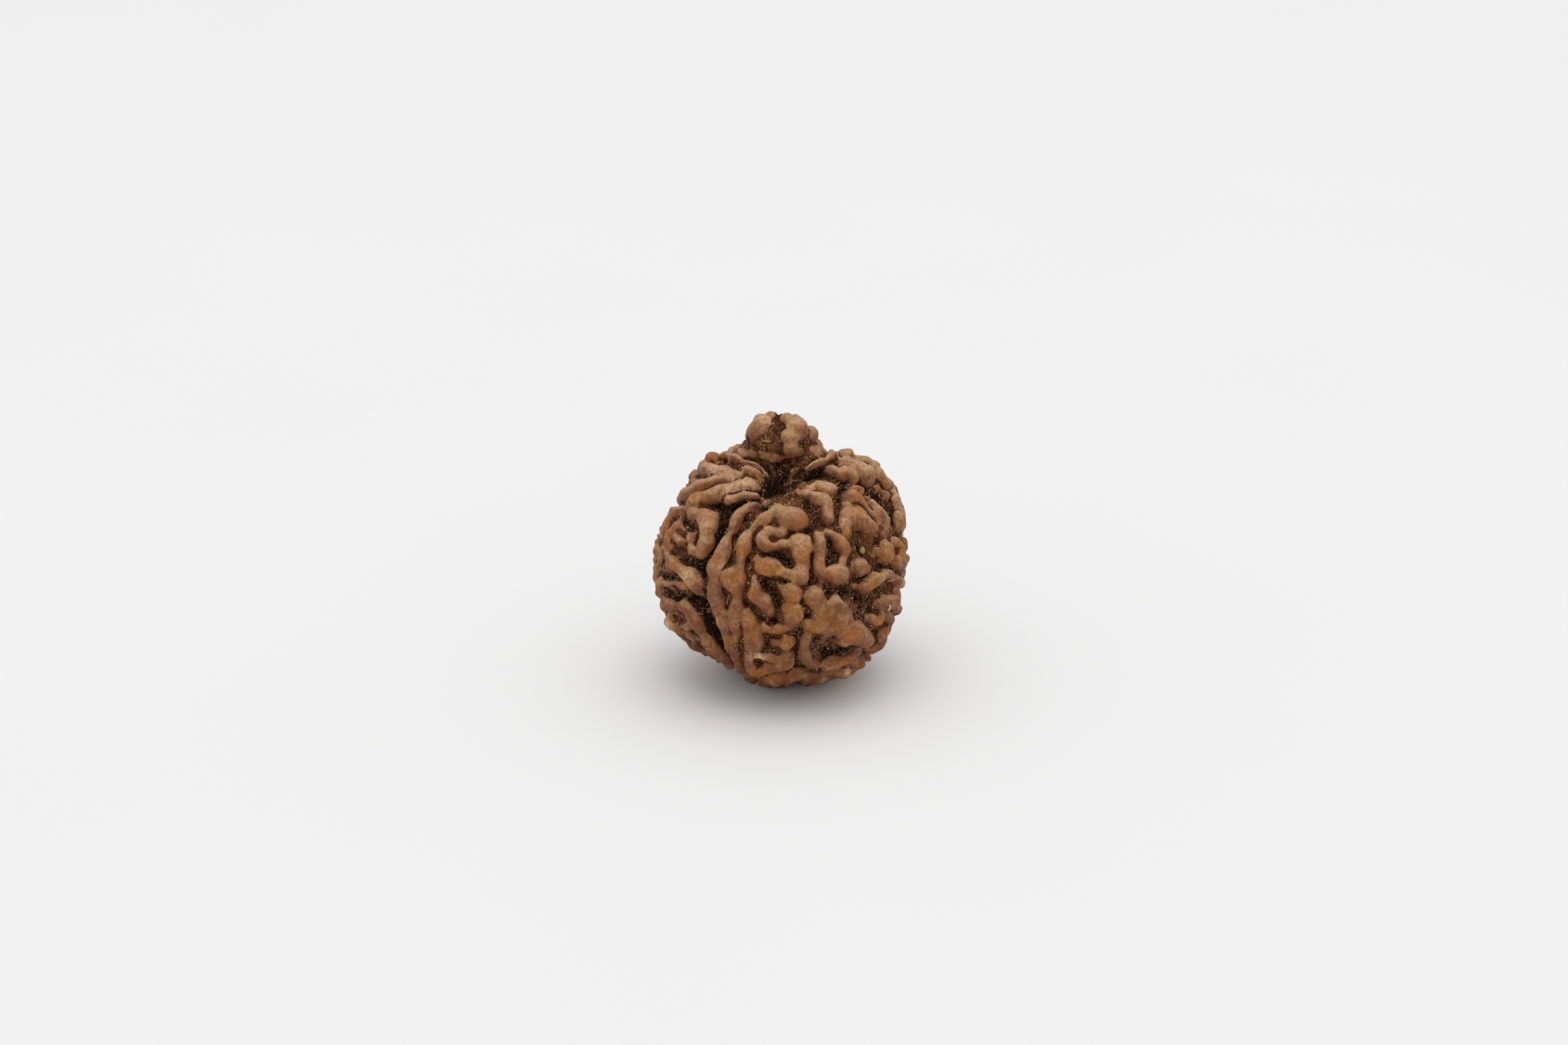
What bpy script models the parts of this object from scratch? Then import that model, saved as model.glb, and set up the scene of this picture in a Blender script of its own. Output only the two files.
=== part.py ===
"""A rudraksha seed at its real size: one woody stone, near round, cleft from pole to pole and covered all
over in rounded ridges, with a natural hole at its upper pole and a short two-lobed stub beside it.

Metres, +Z up. The stone rests on the worn tops of its lowest ridges, on z = 0, as it lies in the reference
picture, with its pole leaning towards -Y. The origin is on the floor under the middle of its box."""

import math
import random

import bmesh
import bpy
import numpy as np

# The stone's real sizes
SEED_WIDTH = 0.0240
VALLEY_RADIUS = 0.01078
RIDGE_HEIGHT_LEAST = 0.00056
RIDGE_HEIGHT_SHARE = 1.10
RIDGE_HEIGHT_MOST = 0.00138
RIDGE_FULLNESS = 1.13
RIDGE_SQUARENESS = 0.70
RIDGE_UNEVENNESS = 0.10
HEIGHT_UNEVENNESS = 0.07
RIDGE_WANDER = 0.00009
RIDGE_LUMP_LENGTH = 0.0019
APRON_SHARE = 0.40
APRON_SPREAD = 0.00062
FUNNEL_DEPTH = 0.0013
FUNNEL_SPREAD = math.radians(15)
HOLE_DEPTH = 0.0030
HOLE_SPREAD = math.radians(4.4)
DIMPLE_DEPTH = 0.0008
DIMPLE_SPREAD = math.radians(8)
SEAT_DISTANCE = 0.01030
FLOOR_DISTANCE = 0.01092
GRAIN_HEIGHT = 0.00013
GRAIN_LENGTH = 0.00105

# How the picture sees the stone: a long lens, tilted down, whose pixels are real sizes at the stone's
# middle
PICTURE_CENTRE = (1176, 784)
SEED_CENTRE = (1172, 848)
SEED_WIDTH_IN_PICTURE = 386
LENS_IN_PIXELS = 5880
VIEW_TILT = math.radians(22)
PIXEL = SEED_WIDTH / SEED_WIDTH_IN_PICTURE
POLE_IN_PICTURE = (1164, 722)

# Wide swellings of the body: where they stand in the picture plane, their height and their spread
SWELLINGS = (
    ((1330, 690), 0.00150, math.radians(28)),
    ((1060, 680), 0.00030, math.radians(22)),
    ((1000, 742), -0.00075, math.radians(9)),
    ((970, 840), 0.00025, math.radians(26)),
    ((996, 930), 0.00050, math.radians(12)),
    ((1320, 990), 0.00030, math.radians(20)),
    ((1368, 862), -0.00050, math.radians(9)),
    ((1262, 664), -0.00120, math.radians(10)),
    ((1070, 1000), -0.00085, math.radians(24)),
    ((1172, 640), -0.00040, math.radians(22)),
    ((1248, 976), -0.00080, math.radians(6)),
    ((1296, 826), -0.00075, math.radians(7)),
    ((1290, 902), -0.00050, math.radians(5)),
    ((1155, 886), -0.00035, math.radians(4)),
    ((1020, 894), -0.00030, math.radians(6)),
)

# The clefts that the picture shows, from the hole down: their half-width, depth and route
NEAR_CLEFTS = {
    "deep_left": (0.00052, 0.00100, ((1150, 738), (1130, 749), (1110, 757), (1094, 769), (1083, 790),
        (1075, 808), (1064, 828), (1053, 850), (1049, 875), (1051, 900), (1059, 925), (1070, 946),
        (1083, 970), (1096, 992))),
    "left_seam": (0.00022, 0.00040, ((1150, 766), (1138, 792), (1130, 815), (1123, 840), (1119, 860),
        (1116, 885), (1113, 905), (1108, 925), (1109, 950), (1114, 970), (1116, 990), (1118, 1010))),
    "middle_seam": (0.00026, 0.00055, ((1178, 740), (1205, 752), (1216, 768), (1217, 790), (1221, 812),
        (1219, 832), (1216, 855), (1213, 875), (1205, 895), (1205, 915), (1200, 940), (1195, 960),
        (1194, 985), (1195, 1008))),
    "right_deep": (0.00040, 0.00080, ((1180, 730), (1205, 716), (1232, 709), (1258, 720), (1288, 728),
        (1312, 745), (1330, 768), (1341, 797))),
    "upper_left": (0.00036, 0.00070, ((1152, 705), (1138, 689), (1110, 691), (1085, 690), (1066, 688))),
}

# The dark hollows between its ridges: half-width in its pixels, depth, and route
HOLLOWS = (
    (6, 0.00090, ((1146, 829), (1160, 831), (1174, 838), (1189, 849))),
    (4, 0.00070, ((1156, 806), (1168, 806), (1182, 804), (1197, 800), (1212, 795))),
    (9, 0.00070, ((1141, 872), (1150, 880), (1160, 890), (1166, 905))),
    (4, 0.00060, ((1118, 902), (1128, 912), (1140, 924), (1152, 929), (1166, 929))),
    (6, 0.00050, ((1147, 956), (1150, 966), (1160, 976), (1177, 981))),
    (3, 0.00060, ((1160, 953), (1176, 953), (1191, 953))),
    (5, 0.00050, ((1132, 988), (1142, 993), (1157, 999))),
    (7, 0.00060, ((1248, 817), (1252, 829), (1255, 840))),
    (8, 0.00060, ((1240, 884), (1262, 886), (1284, 891), (1298, 903), (1290, 926))),
    (5, 0.00050, ((1318, 884), (1308, 894), (1304, 912), (1302, 926))),
    (6, 0.00050, ((1000, 866), (1012, 868), (1022, 872))),
    (8, 0.00070, ((1006, 893), (1025, 897), (1046, 900))),
    (5, 0.00050, ((1004, 922), (1016, 928), (1029, 934))),
    (5, 0.00050, ((1029, 783), (1036, 790), (1041, 798))),
    (7, 0.00055, ((1020, 838), (1035, 843), (1049, 850))),
    (6, 0.00080, ((1060, 757), (1080, 762), (1099, 764))),
    (5, 0.00045, ((1089, 892), (1092, 903), (1087, 915), (1093, 935))),
    (6, 0.00050, ((1121, 772), (1110, 792), (1103, 812), (1098, 830), (1097, 846))),
    (6, 0.00070, ((1213, 712), (1224, 707), (1236, 705))),
    (8, 0.00050, ((1317, 722), (1326, 738), (1335, 753), (1340, 768))),
    (6, 0.00060, ((1262, 725), (1262, 738), (1255, 750))),
    (4, 0.00060, ((1066, 691), (1080, 691), (1098, 694))),
    (8, 0.00050, ((1285, 788), (1290, 800))),
    (7, 0.00160, ((1148, 739), (1156, 729), (1164, 721), (1172, 709), (1181, 698))),
    (7, 0.00060, ((1213, 758), (1222, 775), (1232, 788))),
    (4, 0.00060, ((1277, 836), (1280, 856), (1275, 872))),
    (5, 0.00060, ((1284, 870), (1296, 863), (1310, 857), (1319, 845))),
    (4, 0.00060, ((1320, 850), (1331, 853), (1341, 853))),
    (4, 0.00050, ((1324, 943), (1314, 947), (1304, 944))),
    (4, 0.00060, ((1288, 972), (1299, 982), (1311, 986))),
    (5, 0.00050, ((1204, 924), (1213, 923), (1223, 927))),
    (5, 0.00050, ((1259, 796), (1257, 781), (1258, 766))),
    (3, 0.00070, ((1270, 756), (1284, 756), (1297, 764), (1311, 781))),
    (3, 0.00060, ((1241, 803), (1243, 815), (1242, 830), (1244, 848))),
    (4, 0.00070, ((1136, 868), (1150, 867), (1166, 868), (1180, 872), (1196, 878))),
    (3, 0.00050, ((1128, 1015), (1150, 1015), (1176, 1012))),
    (3, 0.00060, ((1030, 757), (1046, 738), (1062, 731), (1084, 727), (1100, 724))),
    (3, 0.00050, ((1030, 727), (1044, 719), (1060, 713), (1076, 712), (1096, 715))),
    (3, 0.00050, ((1014, 776), (1004, 790), (996, 806))),
    (3, 0.00050, ((992, 812), (992, 828), (995, 845))),
    (4, 0.00050, ((1030, 938), (1040, 955), (1052, 970))),
    (11, 0.00085, ((1234, 974), (1246, 980), (1259, 975))),
    (7, 0.00040, ((1284, 815), (1292, 828), (1300, 842))),
)

# The ridges that the picture shows: a route of (x, y, half-width), all in its pixels
NEAR_RIDGES = {
    # Lip and inner cord between the deep left cleft and the left seam
    "blade": ((1134, 757, 6), (1120, 761, 7), (1109, 769, 8), (1101, 783, 8), (1096, 798, 8),
        (1090, 812, 8), (1083, 828, 10), (1076, 842, 11), (1071, 856, 12), (1070, 870, 12),
        (1069, 885, 12), (1072, 900, 12), (1077, 916, 11), (1083, 932, 10), (1089, 948, 9),
        (1093, 962, 9), (1098, 976, 8), (1105, 992, 8), (1113, 1007, 8)),
    "inner_cord": ((1121, 800, 8), (1114, 818, 11), (1113, 832, 9), (1111, 846, 8), (1107, 862, 10),
        (1108, 878, 9), (1107, 895, 8), (1101, 914, 10), (1102, 934, 9), (1103, 950, 8),
        (1100, 962, 9)),
    "cord_spur": ((1098, 856, 8), (1091, 865, 9), (1092, 877, 8), (1098, 887, 5), (1103, 897, 4)),
    "cord_foot": ((1120, 1014, 8), (1129, 1022, 7)),
    # Blocks between the left seam and the middle seam, from the hole down
    "strap": ((1170, 763, 9), (1159, 771, 12), (1149, 779, 11), (1138, 785, 8), (1129, 792, 6)),
    "ear": ((1180, 774, 15), (1193, 775, 19)),
    "hook_top": ((1173, 797, 6), (1162, 796, 7), (1150, 799, 8), (1144, 809, 8), (1150, 818, 8)),
    "hook_end": ((1150, 818, 8), (1161, 820, 7), (1172, 817, 8), (1182, 817, 7)),
    "anvil": ((1197, 815, 13), (1205, 816, 14), (1203, 829, 14), (1204, 843, 9), (1202, 856, 9),
        (1201, 865, 12)),
    "anvil_arm": ((1197, 864, 9), (1186, 862, 8), (1174, 858, 8)),
    "cushion": ((1138, 846, 10), (1142, 851, 13), (1154, 851, 13), (1165, 855, 10), (1174, 860, 6)),
    "tongue": ((1131, 867, 6), (1130, 880, 8), (1131, 892, 10), (1140, 901, 9), (1148, 909, 8),
        (1154, 917, 6)),
    "tongue_shelf": ((1142, 893, 5), (1150, 899, 5)),
    "upper_lump": ((1184, 887, 10), (1193, 888, 10), (1189, 893, 12)),
    "lower_lump": ((1185, 915, 11), (1190, 918, 13), (1190, 928, 12), (1185, 938, 9), (1174, 944, 8),
        (1160, 945, 7), (1147, 942, 7)),
    "left_post": ((1118, 922, 7), (1122, 935, 11), (1127, 950, 13), (1129, 966, 12), (1127, 978, 9)),
    "lone_lump": ((1167, 965, 6), (1178, 966, 12), (1186, 964, 8)),
    "base_bar": ((1125, 988, 7), (1124, 1002, 9), (1137, 1007, 9), (1153, 1006, 10), (1169, 1001, 11),
        (1179, 996, 13)),
    "base_brace": ((1139, 982, 5), (1152, 987, 7), (1165, 990, 8), (1180, 990, 11)),
    "under_lump": ((1146, 1019, 10), (1158, 1020, 12), (1170, 1018, 10)),
    "under_lump_right": ((1184, 1019, 10), (1197, 1015, 10)),
    # Right front face
    "seam_cord": ((1229, 803, 7), (1231, 815, 8), (1231, 829, 8), (1232, 843, 9), (1232, 858, 10)),
    "arch": ((1243, 799, 4), (1254, 806, 7), (1264, 818, 8), (1266, 832, 6), (1266, 845, 7)),
    "arch_foot": ((1240, 861, 9), (1253, 860, 13), (1262, 864, 13), (1271, 860, 8)),
    "star_left_lobe": ((1224, 899, 13), (1234, 912, 14), (1250, 925, 18)),
    "star_top": ((1254, 908, 12), (1264, 920, 15)),
    "star_right_arm": ((1258, 936, 18), (1276, 948, 16), (1291, 956, 14), (1303, 964, 12)),
    "star_bottom_lobe": ((1262, 946, 13), (1270, 958, 12)),
    "star_plate": ((1238, 920, 18), (1256, 932, 24), (1272, 944, 18)),
    "star_left_arm": ((1211, 938, 9), (1226, 941, 12), (1240, 940, 15), (1246, 950, 9)),
    "ring_left": ((1213, 955, 7), (1208, 968, 8), (1208, 984, 8), (1214, 996, 7), (1225, 1001, 6)),
    "ring_right": ((1238, 1000, 7), (1252, 999, 9), (1267, 994, 9), (1280, 986, 8), (1287, 976, 5)),
    "outer_ring": ((1236, 1012, 7), (1250, 1012, 9), (1266, 1010, 9), (1281, 1004, 9), (1292, 996, 8)),
    "outer_ring_left": ((1208, 1012, 6), (1222, 1014, 6), (1234, 1013, 6)),
    "chip": ((1286, 849, 9), (1293, 851, 11), (1301, 855, 5)),
    "long_chip": ((1298, 882, 8), (1309, 876, 11), (1321, 869, 10), (1328, 865, 7)),
    "long_chip_back": ((1331, 861, 7), (1338, 866, 7)),
    "egg": ((1333, 821, 11), (1333, 828, 12), (1333, 835, 11)),
    "egg_back": ((1344, 812, 7), (1351, 820, 8), (1351, 835, 8), (1348, 849, 7), (1350, 860, 7)),
    "edge_beads_low": ((1347, 871, 7), (1350, 877, 7)),
    "edge_beads_far": ((1358, 810, 5), (1358, 826, 5)),
    "elbow": ((1323, 909, 7), (1331, 905, 10), (1342, 903, 9), (1347, 894, 8), (1343, 886, 6)),
    "elbow_foot": ((1311, 931, 8), (1319, 932, 9), (1322, 921, 6)),
    "edge_lump": ((1341, 912, 7), (1347, 915, 8)),
    "edge_cord": ((1333, 923, 8), (1335, 936, 7), (1328, 950, 9), (1322, 965, 10), (1311, 976, 8)),
    "gable": ((1276, 763, 9), (1281, 766, 13), (1292, 775, 12), (1301, 785, 12), (1308, 795, 9)),
    "gable_plate": ((1277, 774, 12), (1288, 782, 10)),
    "gable_leg": ((1272, 776, 10), (1270, 787, 10), (1269, 798, 8)),
    "back_gable": ((1274, 743, 8), (1284, 744, 10), (1295, 751, 9), (1302, 761, 6), (1310, 773, 5),
        (1321, 786, 4), (1332, 799, 4)),
    "back_gable_top": ((1280, 730, 5), (1292, 735, 5)),
    "pink_band": ((1308, 752, 5), (1318, 764, 8), (1326, 776, 8), (1332, 789, 6)),
    "hole_cord": ((1204, 735, 3), (1215, 732, 5), (1228, 729, 8), (1240, 729, 10), (1250, 732, 8)),
    "hole_spur": ((1214, 741, 6), (1228, 745, 9), (1240, 750, 10), (1243, 762, 8), (1242, 776, 8)),
    # Far right face
    "rim_blade": ((1212, 703, 3), (1226, 695, 4), (1242, 687, 5), (1257, 679, 6), (1271, 678, 6)),
    "rim_lump": ((1271, 692, 9), (1284, 697, 13), (1296, 701, 14), (1302, 711, 11)),
    "rim_lump_low": ((1268, 707, 9), (1283, 715, 9)),
    "rim_wall": ((1311, 697, 7), (1319, 704, 8), (1327, 715, 7), (1336, 728, 7), (1343, 742, 7),
        (1348, 756, 8), (1351, 770, 10), (1352, 785, 10)),
    "rim_crust": ((1247, 700, 7), (1256, 708, 7), (1266, 716, 6)),
    # Upper left face, ridges that run out from the hole
    "far_blade": ((1065, 686, 4), (1075, 683, 5), (1088, 682, 6), (1101, 685, 6), (1112, 690, 5)),
    "far_lump": ((1053, 700, 10), (1064, 703, 9), (1079, 706, 9), (1094, 710, 8), (1108, 713, 7)),
    "far_edge": ((1041, 710, 7), (1039, 717, 6)),
    "long_ridge": ((1020, 746, 9), (1030, 740, 10), (1043, 731, 10), (1057, 724, 9), (1071, 720, 8),
        (1085, 718, 7), (1097, 720, 5)),
    "yellow_ridge": ((1034, 768, 8), (1038, 756, 11), (1048, 747, 12), (1062, 742, 12), (1076, 738, 10),
        (1088, 734, 9), (1100, 731, 8), (1112, 727, 9)),
    "ridge_end": ((1121, 725, 9), (1131, 728, 7)),
    "low_end": ((1091, 748, 8), (1101, 745, 7), (1113, 743, 6), (1125, 743, 6), (1134, 743, 5)),
    "hole_rim": ((1119, 694, 4), (1132, 697, 4), (1143, 704, 4), (1150, 712, 4)),
    "hole_fold": ((1120, 705, 6), (1131, 708, 7), (1139, 713, 5)),
    # Left face
    "shoulder": ((1037, 769, 9), (1047, 771, 9), (1058, 778, 13), (1061, 786, 14), (1058, 800, 11),
        (1056, 813, 11), (1052, 825, 9)),
    "shoulder_foot": ((1034, 822, 7), (1042, 828, 8), (1048, 831, 7)),
    "left_cord": ((1013, 786, 8), (1008, 798, 8), (1001, 811, 9), (1000, 825, 8), (1005, 840, 8),
        (1014, 851, 9), (1024, 860, 10), (1035, 868, 12), (1040, 878, 11), (1042, 885, 8)),
    "pink_lump": ((1013, 806, 6), (1019, 813, 6)),
    "small_lump": ((1035, 804, 5), (1035, 811, 6)),
    "upper_edge": ((1023, 763, 6), (1013, 769, 7), (1005, 777, 7), (999, 788, 8), (995, 798, 7)),
    "edge_post": ((984, 820, 6), (986, 832, 7), (987, 844, 7), (987, 854, 6)),
    "left_bar": ((997, 877, 4), (1006, 876, 4), (1018, 877, 5), (1029, 880, 6)),
    "lower_edge": ((990, 872, 5), (991, 884, 7), (994, 897, 8), (1000, 908, 9), (1008, 913, 8)),
    "diagonal": ((1024, 909, 8), (1033, 920, 9), (1043, 936, 9), (1051, 951, 9), (1060, 963, 9),
        (1071, 976, 8), (1083, 987, 7), (1095, 1000, 7)),
    "lowest_edge": ((1001, 929, 6), (1003, 937, 7), (1014, 944, 7), (1026, 955, 7), (1038, 965, 7),
        (1049, 974, 6)),
    "stud": ((1024, 941, 5), (1030, 939, 5)),
}

# The stub beside the hole: its round core and the swelling that it stands on, each as a place in the
# picture, how far it stands nearer the eye than the stone's middle, and half-sizes
STUB_IN_PICTURE = (1170, 655)
STUB_TOWARDS_EYE = 0.0032
STUB_HALF_SIZES = (0.00275, 0.00215, 0.00190)
ROOT_IN_PICTURE = (1170, 677)
ROOT_TOWARDS_EYE = 0.0020
ROOT_HALF_SIZES = (0.00360, 0.00240, 0.00200)

# The rounded lobes that the picture shows on the stub: place, how far nearer the eye than the stone's
# middle, and half-sizes in pixels
STUB_LOBES = {
    "left_lobe": ((1144, 644), 0.0040, (19, 19, 24)),
    "left_top": ((1155, 630), 0.0037, (10, 12, 14)),
    "right_lobe": ((1191, 647), 0.0042, (21, 21, 23)),
    "right_top": ((1180, 633), 0.0042, (13, 13, 14)),
    "right_brow": ((1200, 641), 0.0050, (12, 12, 12)),
    "right_cheek": ((1186, 655), 0.0052, (16, 14, 12)),
    "chin": ((1187, 674), 0.0052, (13, 13, 13)),
    "side_lobe": ((1217, 652), 0.0028, (10, 14, 14)),
    "left_fold": ((1131, 655), 0.0042, (7, 8, 15)),
    "back_lobe": ((1167, 649), 0.0012, (34, 20, 22)),
}

# The rounded tops of the ridges that make the stone's skyline on either side of the stub, given alike
SKYLINE_LOBES = {
    "blade_tip": ((1269, 680), 0.0007, (11, 13, 7)),
    "rim_top": ((1289, 693), 0.0006, (20, 14, 10)),
    "rim_shoulder": ((1304, 699), 0.0006, (17, 12, 10)),
    "far_tip": ((1070, 685), 0.0007, (12, 12, 6)),
    "far_top": ((1062, 698), 0.0006, (14, 12, 10)),
}

# The roots that run down from the stub on either side, as ridges
STUB_ROOTS = {
    "left_root": ((1103, 675, 7), (1114, 667, 8), (1124, 661, 8)),
    "right_root": ((1244, 682, 5), (1233, 678, 6), (1223, 671, 7)),
}

# Every cleft is a narrow cut in a wide shallow one, and runs on down its side to the far pole
CLEFT_CORE_SHARE = 0.7
CLEFT_SKIRT = 3.5
CLEFT_STEP_DEGREES = 8
CLEFT_END_DEGREES = 172

# The rule for the sides that the picture doesn't show: waves of one length in random directions, whose
# sum winds about like the real ridges. The cords along each cleft come from lifting that sum there.
HIDDEN_CLEFT_TURNS = (118, 168, 222)
HIDDEN_CLEFT_HALF_WIDTH = 0.00034
HIDDEN_CLEFT_DEPTH = 0.00070
HIDDEN_CLEFT_SWAY_DEGREES = 5
HIDDEN_CLEFT_START_DEGREES = 14
WAVE_SEED = 5
WAVE_COUNT = 48
WAVE_LENGTH = 0.00255
WINDING_HEIGHT = 0.00082
WINDING_EDGE = 0.62
WINDING_BIAS = 0.14
WINDING_ROUNDNESS = 0.7
UNEVENNESS = 0.22
UNEVEN_LENGTH = 2.3 * WAVE_LENGTH
LIP_LIFT = 1.3
LIP_OFFSET = 0.00045
LIP_SPREAD = 0.00040
STARTS_AT = 0.46
FULL_AT = 0.26
CLEAR_OF_CLEFT = 0.00050
CLEAR_OF_RIDGE = 0.00040
CLEAR_OF_HOLE = math.radians(13)
STUB_WAVE_LENGTH = 0.0024
STUB_WINDING_HEIGHT = 0.00045
STUB_WINDING_EDGE = 0.5

# How finely the solid is made, and how many flat faces it keeps
BODY_CUTS = 95
STUB_CUTS = 31
LOBE_CUTS = 15
RIDGE_STEP = 0.00028
RIDGE_SIDES = 14
FUSING_VOXEL = 0.00020
SMOOTHING_ROUNDS = 3
FACES_KEPT = 10600
CUTTER_SIDE = 0.04


def picture_axes():
    """Right, up and back of the picture, as unit vectors."""
    right = np.array((1.0, 0.0, 0.0))
    up = np.array((0.0, math.sin(VIEW_TILT), math.cos(VIEW_TILT)))
    back = np.array((0.0, -math.cos(VIEW_TILT), math.sin(VIEW_TILT)))
    return right, up, back


RIGHT, UP, BACK = picture_axes()


def sight_line(x, y):
    """Unit vector of the sight line through a pixel."""
    across = (x - PICTURE_CENTRE[0]) / LENS_IN_PIXELS
    above = (PICTURE_CENTRE[1] - y) / LENS_IN_PIXELS
    line = across * RIGHT + above * UP - BACK
    return line / np.linalg.norm(line)


# The eye, seen from the middle of the stone, which is where the solid is built round
EYE = -sight_line(*SEED_CENTRE) * LENS_IN_PIXELS * PIXEL


def meets_ball(x, y, centre, radius):
    """Where the sight line through a pixel meets a ball, or its nearest point to a ball that it misses."""
    line = sight_line(x, y)
    gap = EYE - centre
    along = gap @ line
    reach = along * along - gap @ gap + radius * radius
    return EYE + line * (-along - math.sqrt(max(reach, 0.0)))


def unit(vectors):
    """Vectors of length one."""
    return vectors / np.linalg.norm(vectors, axis=-1, keepdims=True)


POLE = unit(meets_ball(*POLE_IN_PICTURE, np.zeros(3), VALLEY_RADIUS - FUNNEL_DEPTH / 2))


def fall(angles, spread):
    """1 at the middle of a swelling or a hollow, and 0 well outside its spread."""
    return np.exp(-((angles / spread) ** 2))


def angles_from(directions, middle):
    """Angle between each direction and one other."""
    return np.arccos(np.clip(directions @ middle, -1.0, 1.0))


SWELLING_MIDDLES = [unit(meets_ball(*place, np.zeros(3), VALLEY_RADIUS)) for place, _, _ in SWELLINGS]


def floor_of_valleys(directions):
    """Radius of the body between its ridges, without the clefts."""
    radius = np.full(directions.shape[:-1], VALLEY_RADIUS)
    for middle, (_, height, spread) in zip(SWELLING_MIDDLES, SWELLINGS):
        radius = radius + height * fall(angles_from(directions, middle), spread)
    radius = radius - FUNNEL_DEPTH * fall(angles_from(directions, POLE), FUNNEL_SPREAD)
    radius = radius - DIMPLE_DEPTH * fall(angles_from(directions, -POLE), DIMPLE_SPREAD)
    return np.minimum(radius, SEAT_DISTANCE / np.maximum(-directions[..., 2], 0.1))


def on_body(x, y, height=0.0):
    """Direction from the stone's middle to where a pixel sees it, at a height above its valleys."""
    radius = VALLEY_RADIUS
    for _ in range(6):
        direction = unit(meets_ball(x, y, np.zeros(3), radius))
        radius = float(floor_of_valleys(direction)) + height
    return direction


# Turns round the pole are counted from the side that faces the picture
POLE_FRONT = unit(BACK - (BACK @ POLE) * POLE)
POLE_SIDE = np.cross(POLE, POLE_FRONT)


def turned(turn, fall_from_pole):
    """Direction at a turn round the pole and an angle down from it, in degrees."""
    round_pole, down = math.radians(turn), math.radians(fall_from_pole)
    level = math.cos(round_pole) * POLE_FRONT + math.sin(round_pole) * POLE_SIDE
    return math.cos(down) * POLE + math.sin(down) * level


def turn_of(direction):
    """Turn round the pole of a direction, in degrees."""
    return math.degrees(math.atan2(direction @ POLE_SIDE, direction @ POLE_FRONT))


def cleft_routes():
    """(half-width, depth, directions) of every cleft, each running on down its side to the far pole."""
    routes = []
    for width, depth, pixels in NEAR_CLEFTS.values():
        seen = [on_body(x, y) for x, y in pixels]
        last = seen[-1]
        drop = math.degrees(math.acos(float(last @ POLE)))
        falls = range(int(drop) + CLEFT_STEP_DEGREES, CLEFT_END_DEGREES, CLEFT_STEP_DEGREES)
        on_down = [turned(turn_of(last), a) for a in falls]
        routes.append((width, depth, np.array(seen + on_down)))
    for number, turn in enumerate(HIDDEN_CLEFT_TURNS):
        route = []
        for a in range(HIDDEN_CLEFT_START_DEGREES, CLEFT_END_DEGREES, CLEFT_STEP_DEGREES):
            sway = HIDDEN_CLEFT_SWAY_DEGREES * math.sin(math.radians(3 * a + 70 * number))
            route.append(turned(turn + sway, a))
        routes.append((HIDDEN_CLEFT_HALF_WIDTH, HIDDEN_CLEFT_DEPTH, np.array(route)))
    return routes


CLEFTS = cleft_routes()


def distance_to_route(directions, route):
    """Distance over the body from each direction to the nearest point of a route."""
    nearest = np.full(len(directions), np.inf)
    for start, end in zip(route[:-1], route[1:]):
        span = end - start
        share = np.clip((directions - start) @ span / (span @ span), 0.0, 1.0)
        foot = start + share[:, None] * span
        nearest = np.minimum(nearest, np.linalg.norm(directions - foot, axis=1))
    return nearest * VALLEY_RADIUS


def draw_waves():
    """Random wave directions, as unit vectors, and where each wave starts."""
    draw = random.Random(WAVE_SEED)
    headings = unit(np.array([[draw.gauss(0, 1) for _ in range(3)] for _ in range(WAVE_COUNT)]))
    starts = np.array([draw.uniform(0, 2 * math.pi) for _ in range(WAVE_COUNT)])
    return headings, starts


WAVE_HEADINGS, WAVE_STARTS = draw_waves()


def winding(places, wave_length):
    """A number near -1 to 1 whose high parts wind about in bands, half a wave wide."""
    phase = places @ WAVE_HEADINGS.T * (2 * math.pi / wave_length) + WAVE_STARTS
    return np.cos(phase).sum(axis=1) / math.sqrt(WAVE_COUNT / 2)


def apron(directions):
    """Height of the slopes that the near ridges stand on, which also fill the ground between close ones."""
    height = np.zeros(len(directions))
    for route in near_routes():
        widest = max(width for _, width in route)
        away = distance_to_route(directions, np.array([direction for direction, _ in route]))
        slope = APRON_SHARE * ridge_height(widest) * (1 - ramp(away, 0.5 * widest, widest + APRON_SPREAD))
        height = np.maximum(height, slope)
    return height


def body_radius(directions):
    """Radius of the body under its ridges, with the clefts, the hole and the valleys' crumbly floor."""
    radius = floor_of_valleys(directions) + GRAIN_HEIGHT * winding(directions * VALLEY_RADIUS, GRAIN_LENGTH)
    radius = radius + apron(directions)
    radius = radius - HOLE_DEPTH * fall(angles_from(directions, POLE), HOLE_SPREAD) ** 2
    for width, depth, route in CLEFTS:
        away = distance_to_route(directions, route)
        radius = radius - depth * CLEFT_CORE_SHARE * fall(away, width)
        radius = radius - depth * (1 - CLEFT_CORE_SHARE) * fall(away, CLEFT_SKIRT * width)
    for half_width, depth, pixels in HOLLOWS:
        away = distance_to_route(directions, np.array([on_body(x, y) for x, y in pixels]))
        radius = radius - depth * fall(away, half_width * PIXEL)
    return radius


def ridged_radius(directions):
    """Radius of the body with the ridges that the rule grows."""
    return body_radius(directions) + hidden_relief(directions)


def eased(points, step):
    """A smooth run of points, a step apart, through a few given ones (Catmull-Rom)."""
    points = np.asarray(points, float)
    if len(points) == 1:
        return points
    padded = np.vstack((2 * points[0] - points[1], points, 2 * points[-1] - points[-2]))
    made = []
    for before, start, end, after in zip(padded[:-3], padded[1:-2], padded[2:-1], padded[3:]):
        count = max(1, round(float(np.linalg.norm((end - start)[:3])) / step))
        for t in np.arange(count) / count:
            square = 2 * before - 5 * start + 4 * end - after
            cube = 3 * start - before - 3 * end + after
            made.append(0.5 * (2 * start + (end - before) * t + square * t**2 + cube * t**3))
    made.append(points[-1])
    return np.array(made)


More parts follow.
